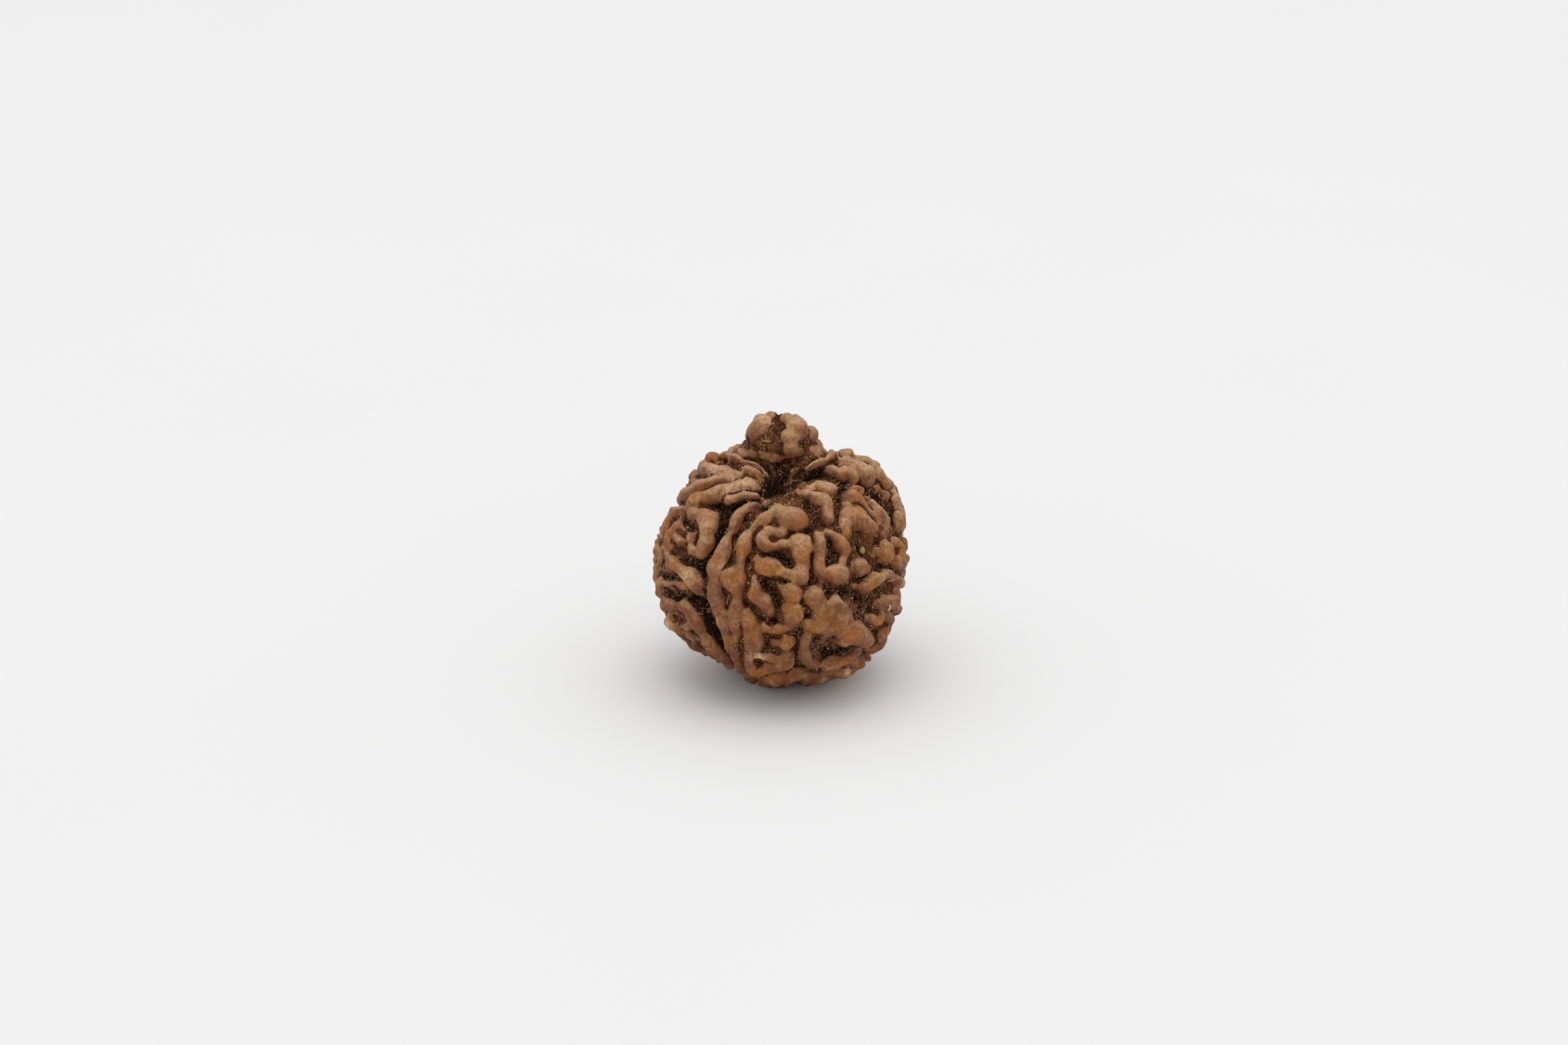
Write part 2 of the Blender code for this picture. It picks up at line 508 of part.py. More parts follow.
def ridge_height(half_width):
    """How far a ridge of this half-width stands above the valleys."""
    return min(RIDGE_HEIGHT_MOST, RIDGE_HEIGHT_LEAST + RIDGE_HEIGHT_SHARE * half_width)


def sausage(bm, stations):
    """A closed round-ended bar through stations of (middle, outward normal, half-width, half-height)."""
    middles = np.array([s[0] for s in stations])
    if len(middles) > 1:
        heading = unit(np.gradient(middles, axis=0))
    else:
        heading = unit(np.cross(stations[0][1], RIGHT))[None, :]
    rings = []

    def ring(middle, normal, ahead, half_width, half_height):
        across = unit(np.cross(ahead, normal))
        corners = []
        for n in range(RIDGE_SIDES):
            a = 2 * math.pi * n / RIDGE_SIDES
            aside = math.copysign(abs(math.cos(a)) ** RIDGE_SQUARENESS, math.cos(a))
            above = math.copysign(abs(math.sin(a)) ** RIDGE_SQUARENESS, math.sin(a))
            corners.append(bm.verts.new(middle + across * half_width * aside + normal * half_height * above))
        rings.append(corners)

    cap_angles = [math.radians(a) for a in (80, 60, 38, 18)]
    first, last = stations[0], stations[-1]
    for a in cap_angles:
        ring(first[0] - heading[0] * first[2] * math.sin(a), first[1], heading[0], first[2] * math.cos(a),
            first[3] * math.cos(a))
    for (middle, normal, half_width, half_height), ahead in zip(stations, heading):
        ring(middle, normal, ahead, half_width, half_height)
    for a in reversed(cap_angles):
        ring(last[0] + heading[-1] * last[2] * math.sin(a), last[1], heading[-1], last[2] * math.cos(a),
            last[3] * math.cos(a))
    for near, far in zip(rings[:-1], rings[1:]):
        for n in range(RIDGE_SIDES):
            m = (n + 1) % RIDGE_SIDES
            bm.faces.new((near[n], far[n], far[m], near[m]))
    bm.faces.new(rings[0])
    bm.faces.new(reversed(rings[-1]))


# The way that ridges wander is square to this, so that it is never along the line of sight
RIDGE_SLANT = unit(RIGHT + UP)


def body_ridge(bm, route):
    """A ridge on the body along (direction, half-width) points."""
    ends = eased([(*direction, width) for direction, width in route], RIDGE_STEP / VALLEY_RADIUS)
    stations = []
    for *direction, width in ends:
        normal = unit(np.array(direction))
        lump = winding(normal[None, :] * VALLEY_RADIUS, RIDGE_LUMP_LENGTH)[0]
        aside = winding(-normal[None, :] * VALLEY_RADIUS, RIDGE_LUMP_LENGTH)[0]
        across = unit(np.cross(normal, RIDGE_SLANT))
        middle = normal * float(floor_of_valleys(normal)) + RIDGE_WANDER * aside * across
        swollen = width * RIDGE_FULLNESS * (1 + RIDGE_UNEVENNESS * lump)
        raised = ridge_height(width) * (1 + HEIGHT_UNEVENNESS * lump)
        stations.append((middle, normal, swollen, raised))
    sausage(bm, stations)


def seen_route(pixels):
    """A ridge that the picture shows, as a route of (direction, half-width)."""
    return [(on_body(x, y, 0.7 * ridge_height(w * PIXEL)), w * PIXEL) for x, y, w in pixels]


def near_routes():
    """The ridges of the near side."""
    return [seen_route(pixels) for pixels in NEAR_RIDGES.values()]


def ramp(values, low, high):
    """0 below low, 1 above high, and a smooth rise between them."""
    share = np.clip((values - low) / (high - low), 0.0, 1.0)
    return share * share * (3 - 2 * share)


def hidden_relief(directions):
    """Height of the ridges that the rule grows where the picture shows none."""
    shown = ramp(directions @ BACK, FULL_AT, STARTS_AT)
    open_ground = 1 - shown
    open_ground *= ramp(angles_from(directions, POLE), CLEAR_OF_HOLE, 1.6 * CLEAR_OF_HOLE)
    for pixels in NEAR_RIDGES.values():
        route = np.array([direction for direction, _ in seen_route(pixels)])
        widest = max(width for _, _, width in pixels) * PIXEL
        away = distance_to_route(directions, route)
        open_ground *= ramp(away, widest, widest + 2 * CLEAR_OF_RIDGE)
    lift = np.zeros(len(directions))
    for width, _, route in CLEFTS:
        away = distance_to_route(directions, route)
        open_ground *= ramp(away, 0.0, width + CLEAR_OF_CLEFT)
        lift = np.maximum(lift, LIP_LIFT * fall(away - width - LIP_OFFSET, LIP_SPREAD))
    band = winding(directions * VALLEY_RADIUS, WAVE_LENGTH) + lift + WINDING_BIAS
    uneven = 1 + UNEVENNESS * winding(directions * VALLEY_RADIUS, UNEVEN_LENGTH)
    swell = ramp(band, -WINDING_EDGE, WINDING_EDGE) ** WINDING_ROUNDNESS
    return WINDING_HEIGHT * uneven * swell * open_ground


def towards_eye(x, y, depth):
    """Point on the sight line of a pixel, this much nearer the eye than the stone's middle."""
    line = sight_line(x, y)
    return EYE + line * (EYE @ BACK - depth) / -(line @ BACK)


STUB_MIDDLE = towards_eye(*STUB_IN_PICTURE, STUB_TOWARDS_EYE)
ROOT_MIDDLE = towards_eye(*ROOT_IN_PICTURE, ROOT_TOWARDS_EYE)


def round_body(bm, middle, radius_of, cuts):
    """A ball of nearly square faces, each corner put at the radius for its direction."""
    ball = bmesh.new()
    bmesh.ops.create_cube(ball, size=2.0)
    bmesh.ops.subdivide_edges(ball, edges=ball.edges[:], cuts=cuts, use_grid_fill=True)
    directions = unit(np.tan(np.array([corner.co for corner in ball.verts]) * math.pi / 4))
    places = middle + directions * radius_of(directions)[:, None]
    for corner, place in zip(ball.verts, places):
        corner.co = place
    mesh = bpy.data.meshes.new("ball")
    ball.to_mesh(mesh)
    ball.free()
    bm.from_mesh(mesh)
    bpy.data.meshes.remove(mesh)


def egg_radius(directions, half_sizes):
    """Radius of an egg of these half-sizes."""
    return 1 / np.linalg.norm(directions / np.array(half_sizes), axis=1)


def stub_radius(directions):
    """Radius of the stub's core."""
    hidden = 1 - ramp(directions @ BACK, 0.2, 0.5)
    band = winding(STUB_MIDDLE + directions * STUB_HALF_SIZES[0], STUB_WAVE_LENGTH)
    lumps = STUB_WINDING_HEIGHT * hidden * ramp(band, -STUB_WINDING_EDGE, STUB_WINDING_EDGE)
    return egg_radius(directions, STUB_HALF_SIZES) + lumps


def root_radius(directions):
    """Radius of the swelling that the stub stands on."""
    band = winding(ROOT_MIDDLE + directions * ROOT_HALF_SIZES[0], STUB_WAVE_LENGTH)
    lumps = STUB_WINDING_HEIGHT * ramp(band, -STUB_WINDING_EDGE, STUB_WINDING_EDGE)
    return egg_radius(directions, ROOT_HALF_SIZES) + lumps


def seen_lobe(bm, pixel, depth, half_sizes):
    """A rounded lobe that the picture shows."""
    sizes = np.array(half_sizes) * PIXEL
    round_body(bm, towards_eye(*pixel, depth), lambda directions: egg_radius(directions, sizes), LOBE_CUTS)


def crude_solid():
    """The body, its ridges and the stub, overlapping in one mesh."""
    bm = bmesh.new()
    round_body(bm, np.zeros(3), ridged_radius, BODY_CUTS)
    round_body(bm, STUB_MIDDLE, stub_radius, STUB_CUTS)
    round_body(bm, ROOT_MIDDLE, root_radius, STUB_CUTS)
    for route in near_routes():
        body_ridge(bm, route)
    for pixel, depth, half_sizes in (*STUB_LOBES.values(), *SKYLINE_LOBES.values()):
        seen_lobe(bm, pixel, depth, half_sizes)
    for pixels in STUB_ROOTS.values():
        body_ridge(bm, seen_route(pixels))
    mesh = bpy.data.meshes.new("seed")
    bm.to_mesh(mesh)
    bm.free()
    return mesh


def fused(mesh):
    """The overlapping shapes made one skin, with its creases eased."""
    rough = bpy.data.objects.new("rough", mesh)
    bpy.context.scene.collection.objects.link(rough)
    remesh = rough.modifiers.new("fuse", "REMESH")
    remesh.mode = "VOXEL"
    remesh.voxel_size = FUSING_VOXEL
    smooth = rough.modifiers.new("ease", "SMOOTH")
    smooth.factor = 0.5
    smooth.iterations = SMOOTHING_ROUNDS
    skin = bpy.data.meshes.new_from_object(rough.evaluated_get(bpy.context.evaluated_depsgraph_get()))
    bpy.data.objects.remove(rough)
    return skin


def set_on_floor(mesh):
    """Moves the skin to FLOOR_DISTANCE above the floor, with its box centred on the origin."""
    points = np.empty(len(mesh.vertices) * 3, np.float32)
    mesh.vertices.foreach_get("co", points)
    points = points.reshape(-1, 3)
    low, high = points.min(axis=0), points.max(axis=0)
    points -= ((low[0] + high[0]) / 2, (low[1] + high[1]) / 2, -FLOOR_DISTANCE)
    mesh.vertices.foreach_set("co", points.ravel())


def stone_material():
    """Dry woody brown."""
    material = bpy.data.materials.new("stone")
    material.use_nodes = True
    shader = material.node_tree.nodes["Principled BSDF"]
    shader.inputs["Base Color"].default_value = (0.26, 0.13, 0.06, 1.0)
    shader.inputs["Roughness"].default_value = 0.55
    shader.inputs["Metallic"].default_value = 0.0
    return material


def worn_floor_cutter():
    """A block under the floor that takes off what reaches below it."""
    bpy.ops.mesh.primitive_cube_add(size=CUTTER_SIDE, location=(0, 0, -CUTTER_SIDE / 2))
    cutter = bpy.context.object
    cutter.name = "floor_cutter"
    cutter.hide_render = True
    cutter.display_type = "WIRE"
    return cutter


def main():
    for old in list(bpy.data.objects):
        bpy.data.objects.remove(old)
    skin = fused(crude_solid())
    set_on_floor(skin)
    skin.name = "seed"
    seed = bpy.data.objects.new("seed", skin)
    bpy.context.scene.collection.objects.link(seed)
    seed.data.materials.clear()
    seed.data.materials.append(stone_material())
    fewer = seed.modifiers.new("fewer faces", "DECIMATE")
    skin.calc_loop_triangles()
    fewer.ratio = FACES_KEPT / len(skin.loop_triangles)
    foot = seed.modifiers.new("worn feet", "BOOLEAN")
    foot.operation = "DIFFERENCE"
    foot.solver = "EXACT"
    foot.object = worn_floor_cutter()
    seed.data.shade_smooth()


main()
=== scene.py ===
"""A rudraksha seed on a pale tabletop, seen as in its maker's picture: the stone itself with its ridges
and clefts, and the dried pulp that still clings in its valleys as crumbs and curled fibres.

Metres, +Z up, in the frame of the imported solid."""

import math
import random

import bmesh
import bpy
import numpy as np
from mathutils import Matrix, Vector
from mathutils.bvhtree import BVHTree


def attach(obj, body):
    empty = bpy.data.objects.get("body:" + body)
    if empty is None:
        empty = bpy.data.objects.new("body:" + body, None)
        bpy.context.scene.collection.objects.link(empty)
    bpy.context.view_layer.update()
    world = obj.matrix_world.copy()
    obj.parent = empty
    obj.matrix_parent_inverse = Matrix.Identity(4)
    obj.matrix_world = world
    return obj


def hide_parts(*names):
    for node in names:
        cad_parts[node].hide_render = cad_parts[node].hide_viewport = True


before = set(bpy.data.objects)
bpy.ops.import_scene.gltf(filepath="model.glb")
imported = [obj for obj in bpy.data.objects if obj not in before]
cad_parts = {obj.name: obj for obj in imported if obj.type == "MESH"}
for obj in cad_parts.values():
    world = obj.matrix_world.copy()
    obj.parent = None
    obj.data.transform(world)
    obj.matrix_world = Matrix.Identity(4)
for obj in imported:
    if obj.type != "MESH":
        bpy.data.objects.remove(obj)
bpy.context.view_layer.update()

# The stone. One woody endocarp: a round body cleft from pole to pole, ridges that wind over it, a hole at
# its upper pole and a short stub beside that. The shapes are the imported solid's own, made finer and with
# small lumps and crumbly floors. It lies on the worn tops of its lowest ridges.

# Its real sizes
SEED_WIDTH = 0.0240
VALLEY_RADIUS = 0.01078
RIDGE_HEIGHT_LEAST = 0.00056
RIDGE_HEIGHT_SHARE = 1.10
RIDGE_HEIGHT_MOST = 0.00138
RIDGE_FULLNESS = 1.13
RIDGE_SQUARENESS = 0.70
RIDGE_UNEVENNESS = 0.10
HEIGHT_UNEVENNESS = 0.07
RIDGE_WANDER = 0.00009
RIDGE_LUMP_LENGTH = 0.0019
APRON_SHARE = 0.40
APRON_SPREAD = 0.00062
FUNNEL_DEPTH = 0.0013
FUNNEL_SPREAD = math.radians(15)
HOLE_DEPTH = 0.0030
HOLE_SPREAD = math.radians(4.4)
DIMPLE_DEPTH = 0.0008
DIMPLE_SPREAD = math.radians(8)
SEAT_DISTANCE = 0.01030
FLOOR_DISTANCE = 0.01092
GRAIN_HEIGHT = 0.00013
GRAIN_LENGTH = 0.00105

# How the picture sees the stone: a long lens, tilted down, whose pixels are real sizes at the stone's
# middle
PICTURE_CENTRE = (1176, 784)
SEED_CENTRE = (1172, 848)
SEED_WIDTH_IN_PICTURE = 386
LENS_IN_PIXELS = 5880
VIEW_TILT = math.radians(22)
PIXEL = SEED_WIDTH / SEED_WIDTH_IN_PICTURE
POLE_IN_PICTURE = (1164, 722)

# Wide swellings of the body: where they stand in the picture plane, their height and their spread
SWELLINGS = (
    ((1330, 690), 0.00150, math.radians(28)),
    ((1060, 680), 0.00030, math.radians(22)),
    ((1000, 742), -0.00075, math.radians(9)),
    ((970, 840), 0.00025, math.radians(26)),
    ((996, 930), 0.00050, math.radians(12)),
    ((1320, 990), 0.00030, math.radians(20)),
    ((1368, 862), -0.00050, math.radians(9)),
    ((1262, 664), -0.00120, math.radians(10)),
    ((1070, 1000), -0.00085, math.radians(24)),
    ((1172, 640), -0.00040, math.radians(22)),
    ((1248, 976), -0.00080, math.radians(6)),
    ((1296, 826), -0.00075, math.radians(7)),
    ((1290, 902), -0.00050, math.radians(5)),
    ((1155, 886), -0.00035, math.radians(4)),
    ((1020, 894), -0.00030, math.radians(6)),
)

# The clefts that the picture shows, from the hole down: their half-width, depth and route
NEAR_CLEFTS = {
    "deep_left": (0.00052, 0.00100, ((1150, 738), (1130, 749), (1110, 757), (1094, 769), (1083, 790),
        (1075, 808), (1064, 828), (1053, 850), (1049, 875), (1051, 900), (1059, 925), (1070, 946),
        (1083, 970), (1096, 992))),
    "left_seam": (0.00022, 0.00040, ((1150, 766), (1138, 792), (1130, 815), (1123, 840), (1119, 860),
        (1116, 885), (1113, 905), (1108, 925), (1109, 950), (1114, 970), (1116, 990), (1118, 1010))),
    "middle_seam": (0.00026, 0.00055, ((1178, 740), (1205, 752), (1216, 768), (1217, 790), (1221, 812),
        (1219, 832), (1216, 855), (1213, 875), (1205, 895), (1205, 915), (1200, 940), (1195, 960),
        (1194, 985), (1195, 1008))),
    "right_deep": (0.00040, 0.00080, ((1180, 730), (1205, 716), (1232, 709), (1258, 720), (1288, 728),
        (1312, 745), (1330, 768), (1341, 797))),
    "upper_left": (0.00036, 0.00070, ((1152, 705), (1138, 689), (1110, 691), (1085, 690), (1066, 688))),
}

# The dark hollows between its ridges: half-width in its pixels, depth, and route
HOLLOWS = (
    (6, 0.00090, ((1146, 829), (1160, 831), (1174, 838), (1189, 849))),
    (4, 0.00070, ((1156, 806), (1168, 806), (1182, 804), (1197, 800), (1212, 795))),
    (9, 0.00070, ((1141, 872), (1150, 880), (1160, 890), (1166, 905))),
    (4, 0.00060, ((1118, 902), (1128, 912), (1140, 924), (1152, 929), (1166, 929))),
    (6, 0.00050, ((1147, 956), (1150, 966), (1160, 976), (1177, 981))),
    (3, 0.00060, ((1160, 953), (1176, 953), (1191, 953))),
    (5, 0.00050, ((1132, 988), (1142, 993), (1157, 999))),
    (7, 0.00060, ((1248, 817), (1252, 829), (1255, 840))),
    (8, 0.00060, ((1240, 884), (1262, 886), (1284, 891), (1298, 903), (1290, 926))),
    (5, 0.00050, ((1318, 884), (1308, 894), (1304, 912), (1302, 926))),
    (6, 0.00050, ((1000, 866), (1012, 868), (1022, 872))),
    (8, 0.00070, ((1006, 893), (1025, 897), (1046, 900))),
    (5, 0.00050, ((1004, 922), (1016, 928), (1029, 934))),
    (5, 0.00050, ((1029, 783), (1036, 790), (1041, 798))),
    (7, 0.00055, ((1020, 838), (1035, 843), (1049, 850))),
    (6, 0.00080, ((1060, 757), (1080, 762), (1099, 764))),
    (5, 0.00045, ((1089, 892), (1092, 903), (1087, 915), (1093, 935))),
    (6, 0.00050, ((1121, 772), (1110, 792), (1103, 812), (1098, 830), (1097, 846))),
    (6, 0.00070, ((1213, 712), (1224, 707), (1236, 705))),
    (8, 0.00050, ((1317, 722), (1326, 738), (1335, 753), (1340, 768))),
    (6, 0.00060, ((1262, 725), (1262, 738), (1255, 750))),
    (4, 0.00060, ((1066, 691), (1080, 691), (1098, 694))),
    (8, 0.00050, ((1285, 788), (1290, 800))),
    (7, 0.00160, ((1148, 739), (1156, 729), (1164, 721), (1172, 709), (1181, 698))),
    (7, 0.00060, ((1213, 758), (1222, 775), (1232, 788))),
    (4, 0.00060, ((1277, 836), (1280, 856), (1275, 872))),
    (5, 0.00060, ((1284, 870), (1296, 863), (1310, 857), (1319, 845))),
    (4, 0.00060, ((1320, 850), (1331, 853), (1341, 853))),
    (4, 0.00050, ((1324, 943), (1314, 947), (1304, 944))),
    (4, 0.00060, ((1288, 972), (1299, 982), (1311, 986))),
    (5, 0.00050, ((1204, 924), (1213, 923), (1223, 927))),
    (5, 0.00050, ((1259, 796), (1257, 781), (1258, 766))),
    (3, 0.00070, ((1270, 756), (1284, 756), (1297, 764), (1311, 781))),
    (3, 0.00060, ((1241, 803), (1243, 815), (1242, 830), (1244, 848))),
    (4, 0.00070, ((1136, 868), (1150, 867), (1166, 868), (1180, 872), (1196, 878))),
    (3, 0.00050, ((1128, 1015), (1150, 1015), (1176, 1012))),
    (3, 0.00060, ((1030, 757), (1046, 738), (1062, 731), (1084, 727), (1100, 724))),
    (3, 0.00050, ((1030, 727), (1044, 719), (1060, 713), (1076, 712), (1096, 715))),
    (3, 0.00050, ((1014, 776), (1004, 790), (996, 806))),
    (3, 0.00050, ((992, 812), (992, 828), (995, 845))),
    (4, 0.00050, ((1030, 938), (1040, 955), (1052, 970))),
    (11, 0.00085, ((1234, 974), (1246, 980), (1259, 975))),
    (7, 0.00040, ((1284, 815), (1292, 828), (1300, 842))),
)

# The ridges that the picture shows: a route of (x, y, half-width), all in its pixels
NEAR_RIDGES = {
    # Lip and inner cord between the deep left cleft and the left seam
    "blade": ((1134, 757, 6), (1120, 761, 7), (1109, 769, 8), (1101, 783, 8), (1096, 798, 8),
        (1090, 812, 8), (1083, 828, 10), (1076, 842, 11), (1071, 856, 12), (1070, 870, 12),
        (1069, 885, 12), (1072, 900, 12), (1077, 916, 11), (1083, 932, 10), (1089, 948, 9),
        (1093, 962, 9), (1098, 976, 8), (1105, 992, 8), (1113, 1007, 8)),
    "inner_cord": ((1121, 800, 8), (1114, 818, 11), (1113, 832, 9), (1111, 846, 8), (1107, 862, 10),
        (1108, 878, 9), (1107, 895, 8), (1101, 914, 10), (1102, 934, 9), (1103, 950, 8),
        (1100, 962, 9)),
    "cord_spur": ((1098, 856, 8), (1091, 865, 9), (1092, 877, 8), (1098, 887, 5), (1103, 897, 4)),
    "cord_foot": ((1120, 1014, 8), (1129, 1022, 7)),
    # Blocks between the left seam and the middle seam, from the hole down
    "strap": ((1170, 763, 9), (1159, 771, 12), (1149, 779, 11), (1138, 785, 8), (1129, 792, 6)),
    "ear": ((1180, 774, 15), (1193, 775, 19)),
    "hook_top": ((1173, 797, 6), (1162, 796, 7), (1150, 799, 8), (1144, 809, 8), (1150, 818, 8)),
    "hook_end": ((1150, 818, 8), (1161, 820, 7), (1172, 817, 8), (1182, 817, 7)),
    "anvil": ((1197, 815, 13), (1205, 816, 14), (1203, 829, 14), (1204, 843, 9), (1202, 856, 9),
        (1201, 865, 12)),
    "anvil_arm": ((1197, 864, 9), (1186, 862, 8), (1174, 858, 8)),
    "cushion": ((1138, 846, 10), (1142, 851, 13), (1154, 851, 13), (1165, 855, 10), (1174, 860, 6)),
    "tongue": ((1131, 867, 6), (1130, 880, 8), (1131, 892, 10), (1140, 901, 9), (1148, 909, 8),
        (1154, 917, 6)),
    "tongue_shelf": ((1142, 893, 5), (1150, 899, 5)),
    "upper_lump": ((1184, 887, 10), (1193, 888, 10), (1189, 893, 12)),
    "lower_lump": ((1185, 915, 11), (1190, 918, 13), (1190, 928, 12), (1185, 938, 9), (1174, 944, 8),
        (1160, 945, 7), (1147, 942, 7)),
    "left_post": ((1118, 922, 7), (1122, 935, 11), (1127, 950, 13), (1129, 966, 12), (1127, 978, 9)),
    "lone_lump": ((1167, 965, 6), (1178, 966, 12), (1186, 964, 8)),
    "base_bar": ((1125, 988, 7), (1124, 1002, 9), (1137, 1007, 9), (1153, 1006, 10), (1169, 1001, 11),
        (1179, 996, 13)),
    "base_brace": ((1139, 982, 5), (1152, 987, 7), (1165, 990, 8), (1180, 990, 11)),
    "under_lump": ((1146, 1019, 10), (1158, 1020, 12), (1170, 1018, 10)),
    "under_lump_right": ((1184, 1019, 10), (1197, 1015, 10)),
    # Right front face
    "seam_cord": ((1229, 803, 7), (1231, 815, 8), (1231, 829, 8), (1232, 843, 9), (1232, 858, 10)),
    "arch": ((1243, 799, 4), (1254, 806, 7), (1264, 818, 8), (1266, 832, 6), (1266, 845, 7)),
    "arch_foot": ((1240, 861, 9), (1253, 860, 13), (1262, 864, 13), (1271, 860, 8)),
    "star_left_lobe": ((1224, 899, 13), (1234, 912, 14), (1250, 925, 18)),
    "star_top": ((1254, 908, 12), (1264, 920, 15)),
    "star_right_arm": ((1258, 936, 18), (1276, 948, 16), (1291, 956, 14), (1303, 964, 12)),
    "star_bottom_lobe": ((1262, 946, 13), (1270, 958, 12)),
    "star_plate": ((1238, 920, 18), (1256, 932, 24), (1272, 944, 18)),
    "star_left_arm": ((1211, 938, 9), (1226, 941, 12), (1240, 940, 15), (1246, 950, 9)),
    "ring_left": ((1213, 955, 7), (1208, 968, 8), (1208, 984, 8), (1214, 996, 7), (1225, 1001, 6)),
    "ring_right": ((1238, 1000, 7), (1252, 999, 9), (1267, 994, 9), (1280, 986, 8), (1287, 976, 5)),
    "outer_ring": ((1236, 1012, 7), (1250, 1012, 9), (1266, 1010, 9), (1281, 1004, 9), (1292, 996, 8)),
    "outer_ring_left": ((1208, 1012, 6), (1222, 1014, 6), (1234, 1013, 6)),
    "chip": ((1286, 849, 9), (1293, 851, 11), (1301, 855, 5)),
    "long_chip": ((1298, 882, 8), (1309, 876, 11), (1321, 869, 10), (1328, 865, 7)),
    "long_chip_back": ((1331, 861, 7), (1338, 866, 7)),
    "egg": ((1333, 821, 11), (1333, 828, 12), (1333, 835, 11)),
    "egg_back": ((1344, 812, 7), (1351, 820, 8), (1351, 835, 8), (1348, 849, 7), (1350, 860, 7)),
    "edge_beads_low": ((1347, 871, 7), (1350, 877, 7)),
    "edge_beads_far": ((1358, 810, 5), (1358, 826, 5)),
    "elbow": ((1323, 909, 7), (1331, 905, 10), (1342, 903, 9), (1347, 894, 8), (1343, 886, 6)),
    "elbow_foot": ((1311, 931, 8), (1319, 932, 9), (1322, 921, 6)),
    "edge_lump": ((1341, 912, 7), (1347, 915, 8)),
    "edge_cord": ((1333, 923, 8), (1335, 936, 7), (1328, 950, 9), (1322, 965, 10), (1311, 976, 8)),
    "gable": ((1276, 763, 9), (1281, 766, 13), (1292, 775, 12), (1301, 785, 12), (1308, 795, 9)),
    "gable_plate": ((1277, 774, 12), (1288, 782, 10)),
    "gable_leg": ((1272, 776, 10), (1270, 787, 10), (1269, 798, 8)),
    "back_gable": ((1274, 743, 8), (1284, 744, 10), (1295, 751, 9), (1302, 761, 6), (1310, 773, 5),
        (1321, 786, 4), (1332, 799, 4)),
    "back_gable_top": ((1280, 730, 5), (1292, 735, 5)),
    "pink_band": ((1308, 752, 5), (1318, 764, 8), (1326, 776, 8), (1332, 789, 6)),
    "hole_cord": ((1204, 735, 3), (1215, 732, 5), (1228, 729, 8), (1240, 729, 10), (1250, 732, 8)),
    "hole_spur": ((1214, 741, 6), (1228, 745, 9), (1240, 750, 10), (1243, 762, 8), (1242, 776, 8)),
    # Far right face
    "rim_blade": ((1212, 703, 3), (1226, 695, 4), (1242, 687, 5), (1257, 679, 6), (1271, 678, 6)),
    "rim_lump": ((1271, 692, 9), (1284, 697, 13), (1296, 701, 14), (1302, 711, 11)),
    "rim_lump_low": ((1268, 707, 9), (1283, 715, 9)),
    "rim_wall": ((1311, 697, 7), (1319, 704, 8), (1327, 715, 7), (1336, 728, 7), (1343, 742, 7),
        (1348, 756, 8), (1351, 770, 10), (1352, 785, 10)),
    "rim_crust": ((1247, 700, 7), (1256, 708, 7), (1266, 716, 6)),
    # Upper left face, ridges that run out from the hole
    "far_blade": ((1065, 686, 4), (1075, 683, 5), (1088, 682, 6), (1101, 685, 6), (1112, 690, 5)),
    "far_lump": ((1053, 700, 10), (1064, 703, 9), (1079, 706, 9), (1094, 710, 8), (1108, 713, 7)),
    "far_edge": ((1041, 710, 7), (1039, 717, 6)),
    "long_ridge": ((1020, 746, 9), (1030, 740, 10), (1043, 731, 10), (1057, 724, 9), (1071, 720, 8),
        (1085, 718, 7), (1097, 720, 5)),
    "yellow_ridge": ((1034, 768, 8), (1038, 756, 11), (1048, 747, 12), (1062, 742, 12), (1076, 738, 10),
        (1088, 734, 9), (1100, 731, 8), (1112, 727, 9)),
    "ridge_end": ((1121, 725, 9), (1131, 728, 7)),
    "low_end": ((1091, 748, 8), (1101, 745, 7), (1113, 743, 6), (1125, 743, 6), (1134, 743, 5)),
    "hole_rim": ((1119, 694, 4), (1132, 697, 4), (1143, 704, 4), (1150, 712, 4)),
    "hole_fold": ((1120, 705, 6), (1131, 708, 7), (1139, 713, 5)),
    # Left face
    "shoulder": ((1037, 769, 9), (1047, 771, 9), (1058, 778, 13), (1061, 786, 14), (1058, 800, 11),
        (1056, 813, 11), (1052, 825, 9)),
    "shoulder_foot": ((1034, 822, 7), (1042, 828, 8), (1048, 831, 7)),
    "left_cord": ((1013, 786, 8), (1008, 798, 8), (1001, 811, 9), (1000, 825, 8), (1005, 840, 8),
        (1014, 851, 9), (1024, 860, 10), (1035, 868, 12), (1040, 878, 11), (1042, 885, 8)),
    "pink_lump": ((1013, 806, 6), (1019, 813, 6)),
    "small_lump": ((1035, 804, 5), (1035, 811, 6)),
    "upper_edge": ((1023, 763, 6), (1013, 769, 7), (1005, 777, 7), (999, 788, 8), (995, 798, 7)),
    "edge_post": ((984, 820, 6), (986, 832, 7), (987, 844, 7), (987, 854, 6)),
    "left_bar": ((997, 877, 4), (1006, 876, 4), (1018, 877, 5), (1029, 880, 6)),
    "lower_edge": ((990, 872, 5), (991, 884, 7), (994, 897, 8), (1000, 908, 9), (1008, 913, 8)),
    "diagonal": ((1024, 909, 8), (1033, 920, 9), (1043, 936, 9), (1051, 951, 9), (1060, 963, 9),
        (1071, 976, 8), (1083, 987, 7), (1095, 1000, 7)),
    "lowest_edge": ((1001, 929, 6), (1003, 937, 7), (1014, 944, 7), (1026, 955, 7), (1038, 965, 7),
        (1049, 974, 6)),
    "stud": ((1024, 941, 5), (1030, 939, 5)),
}

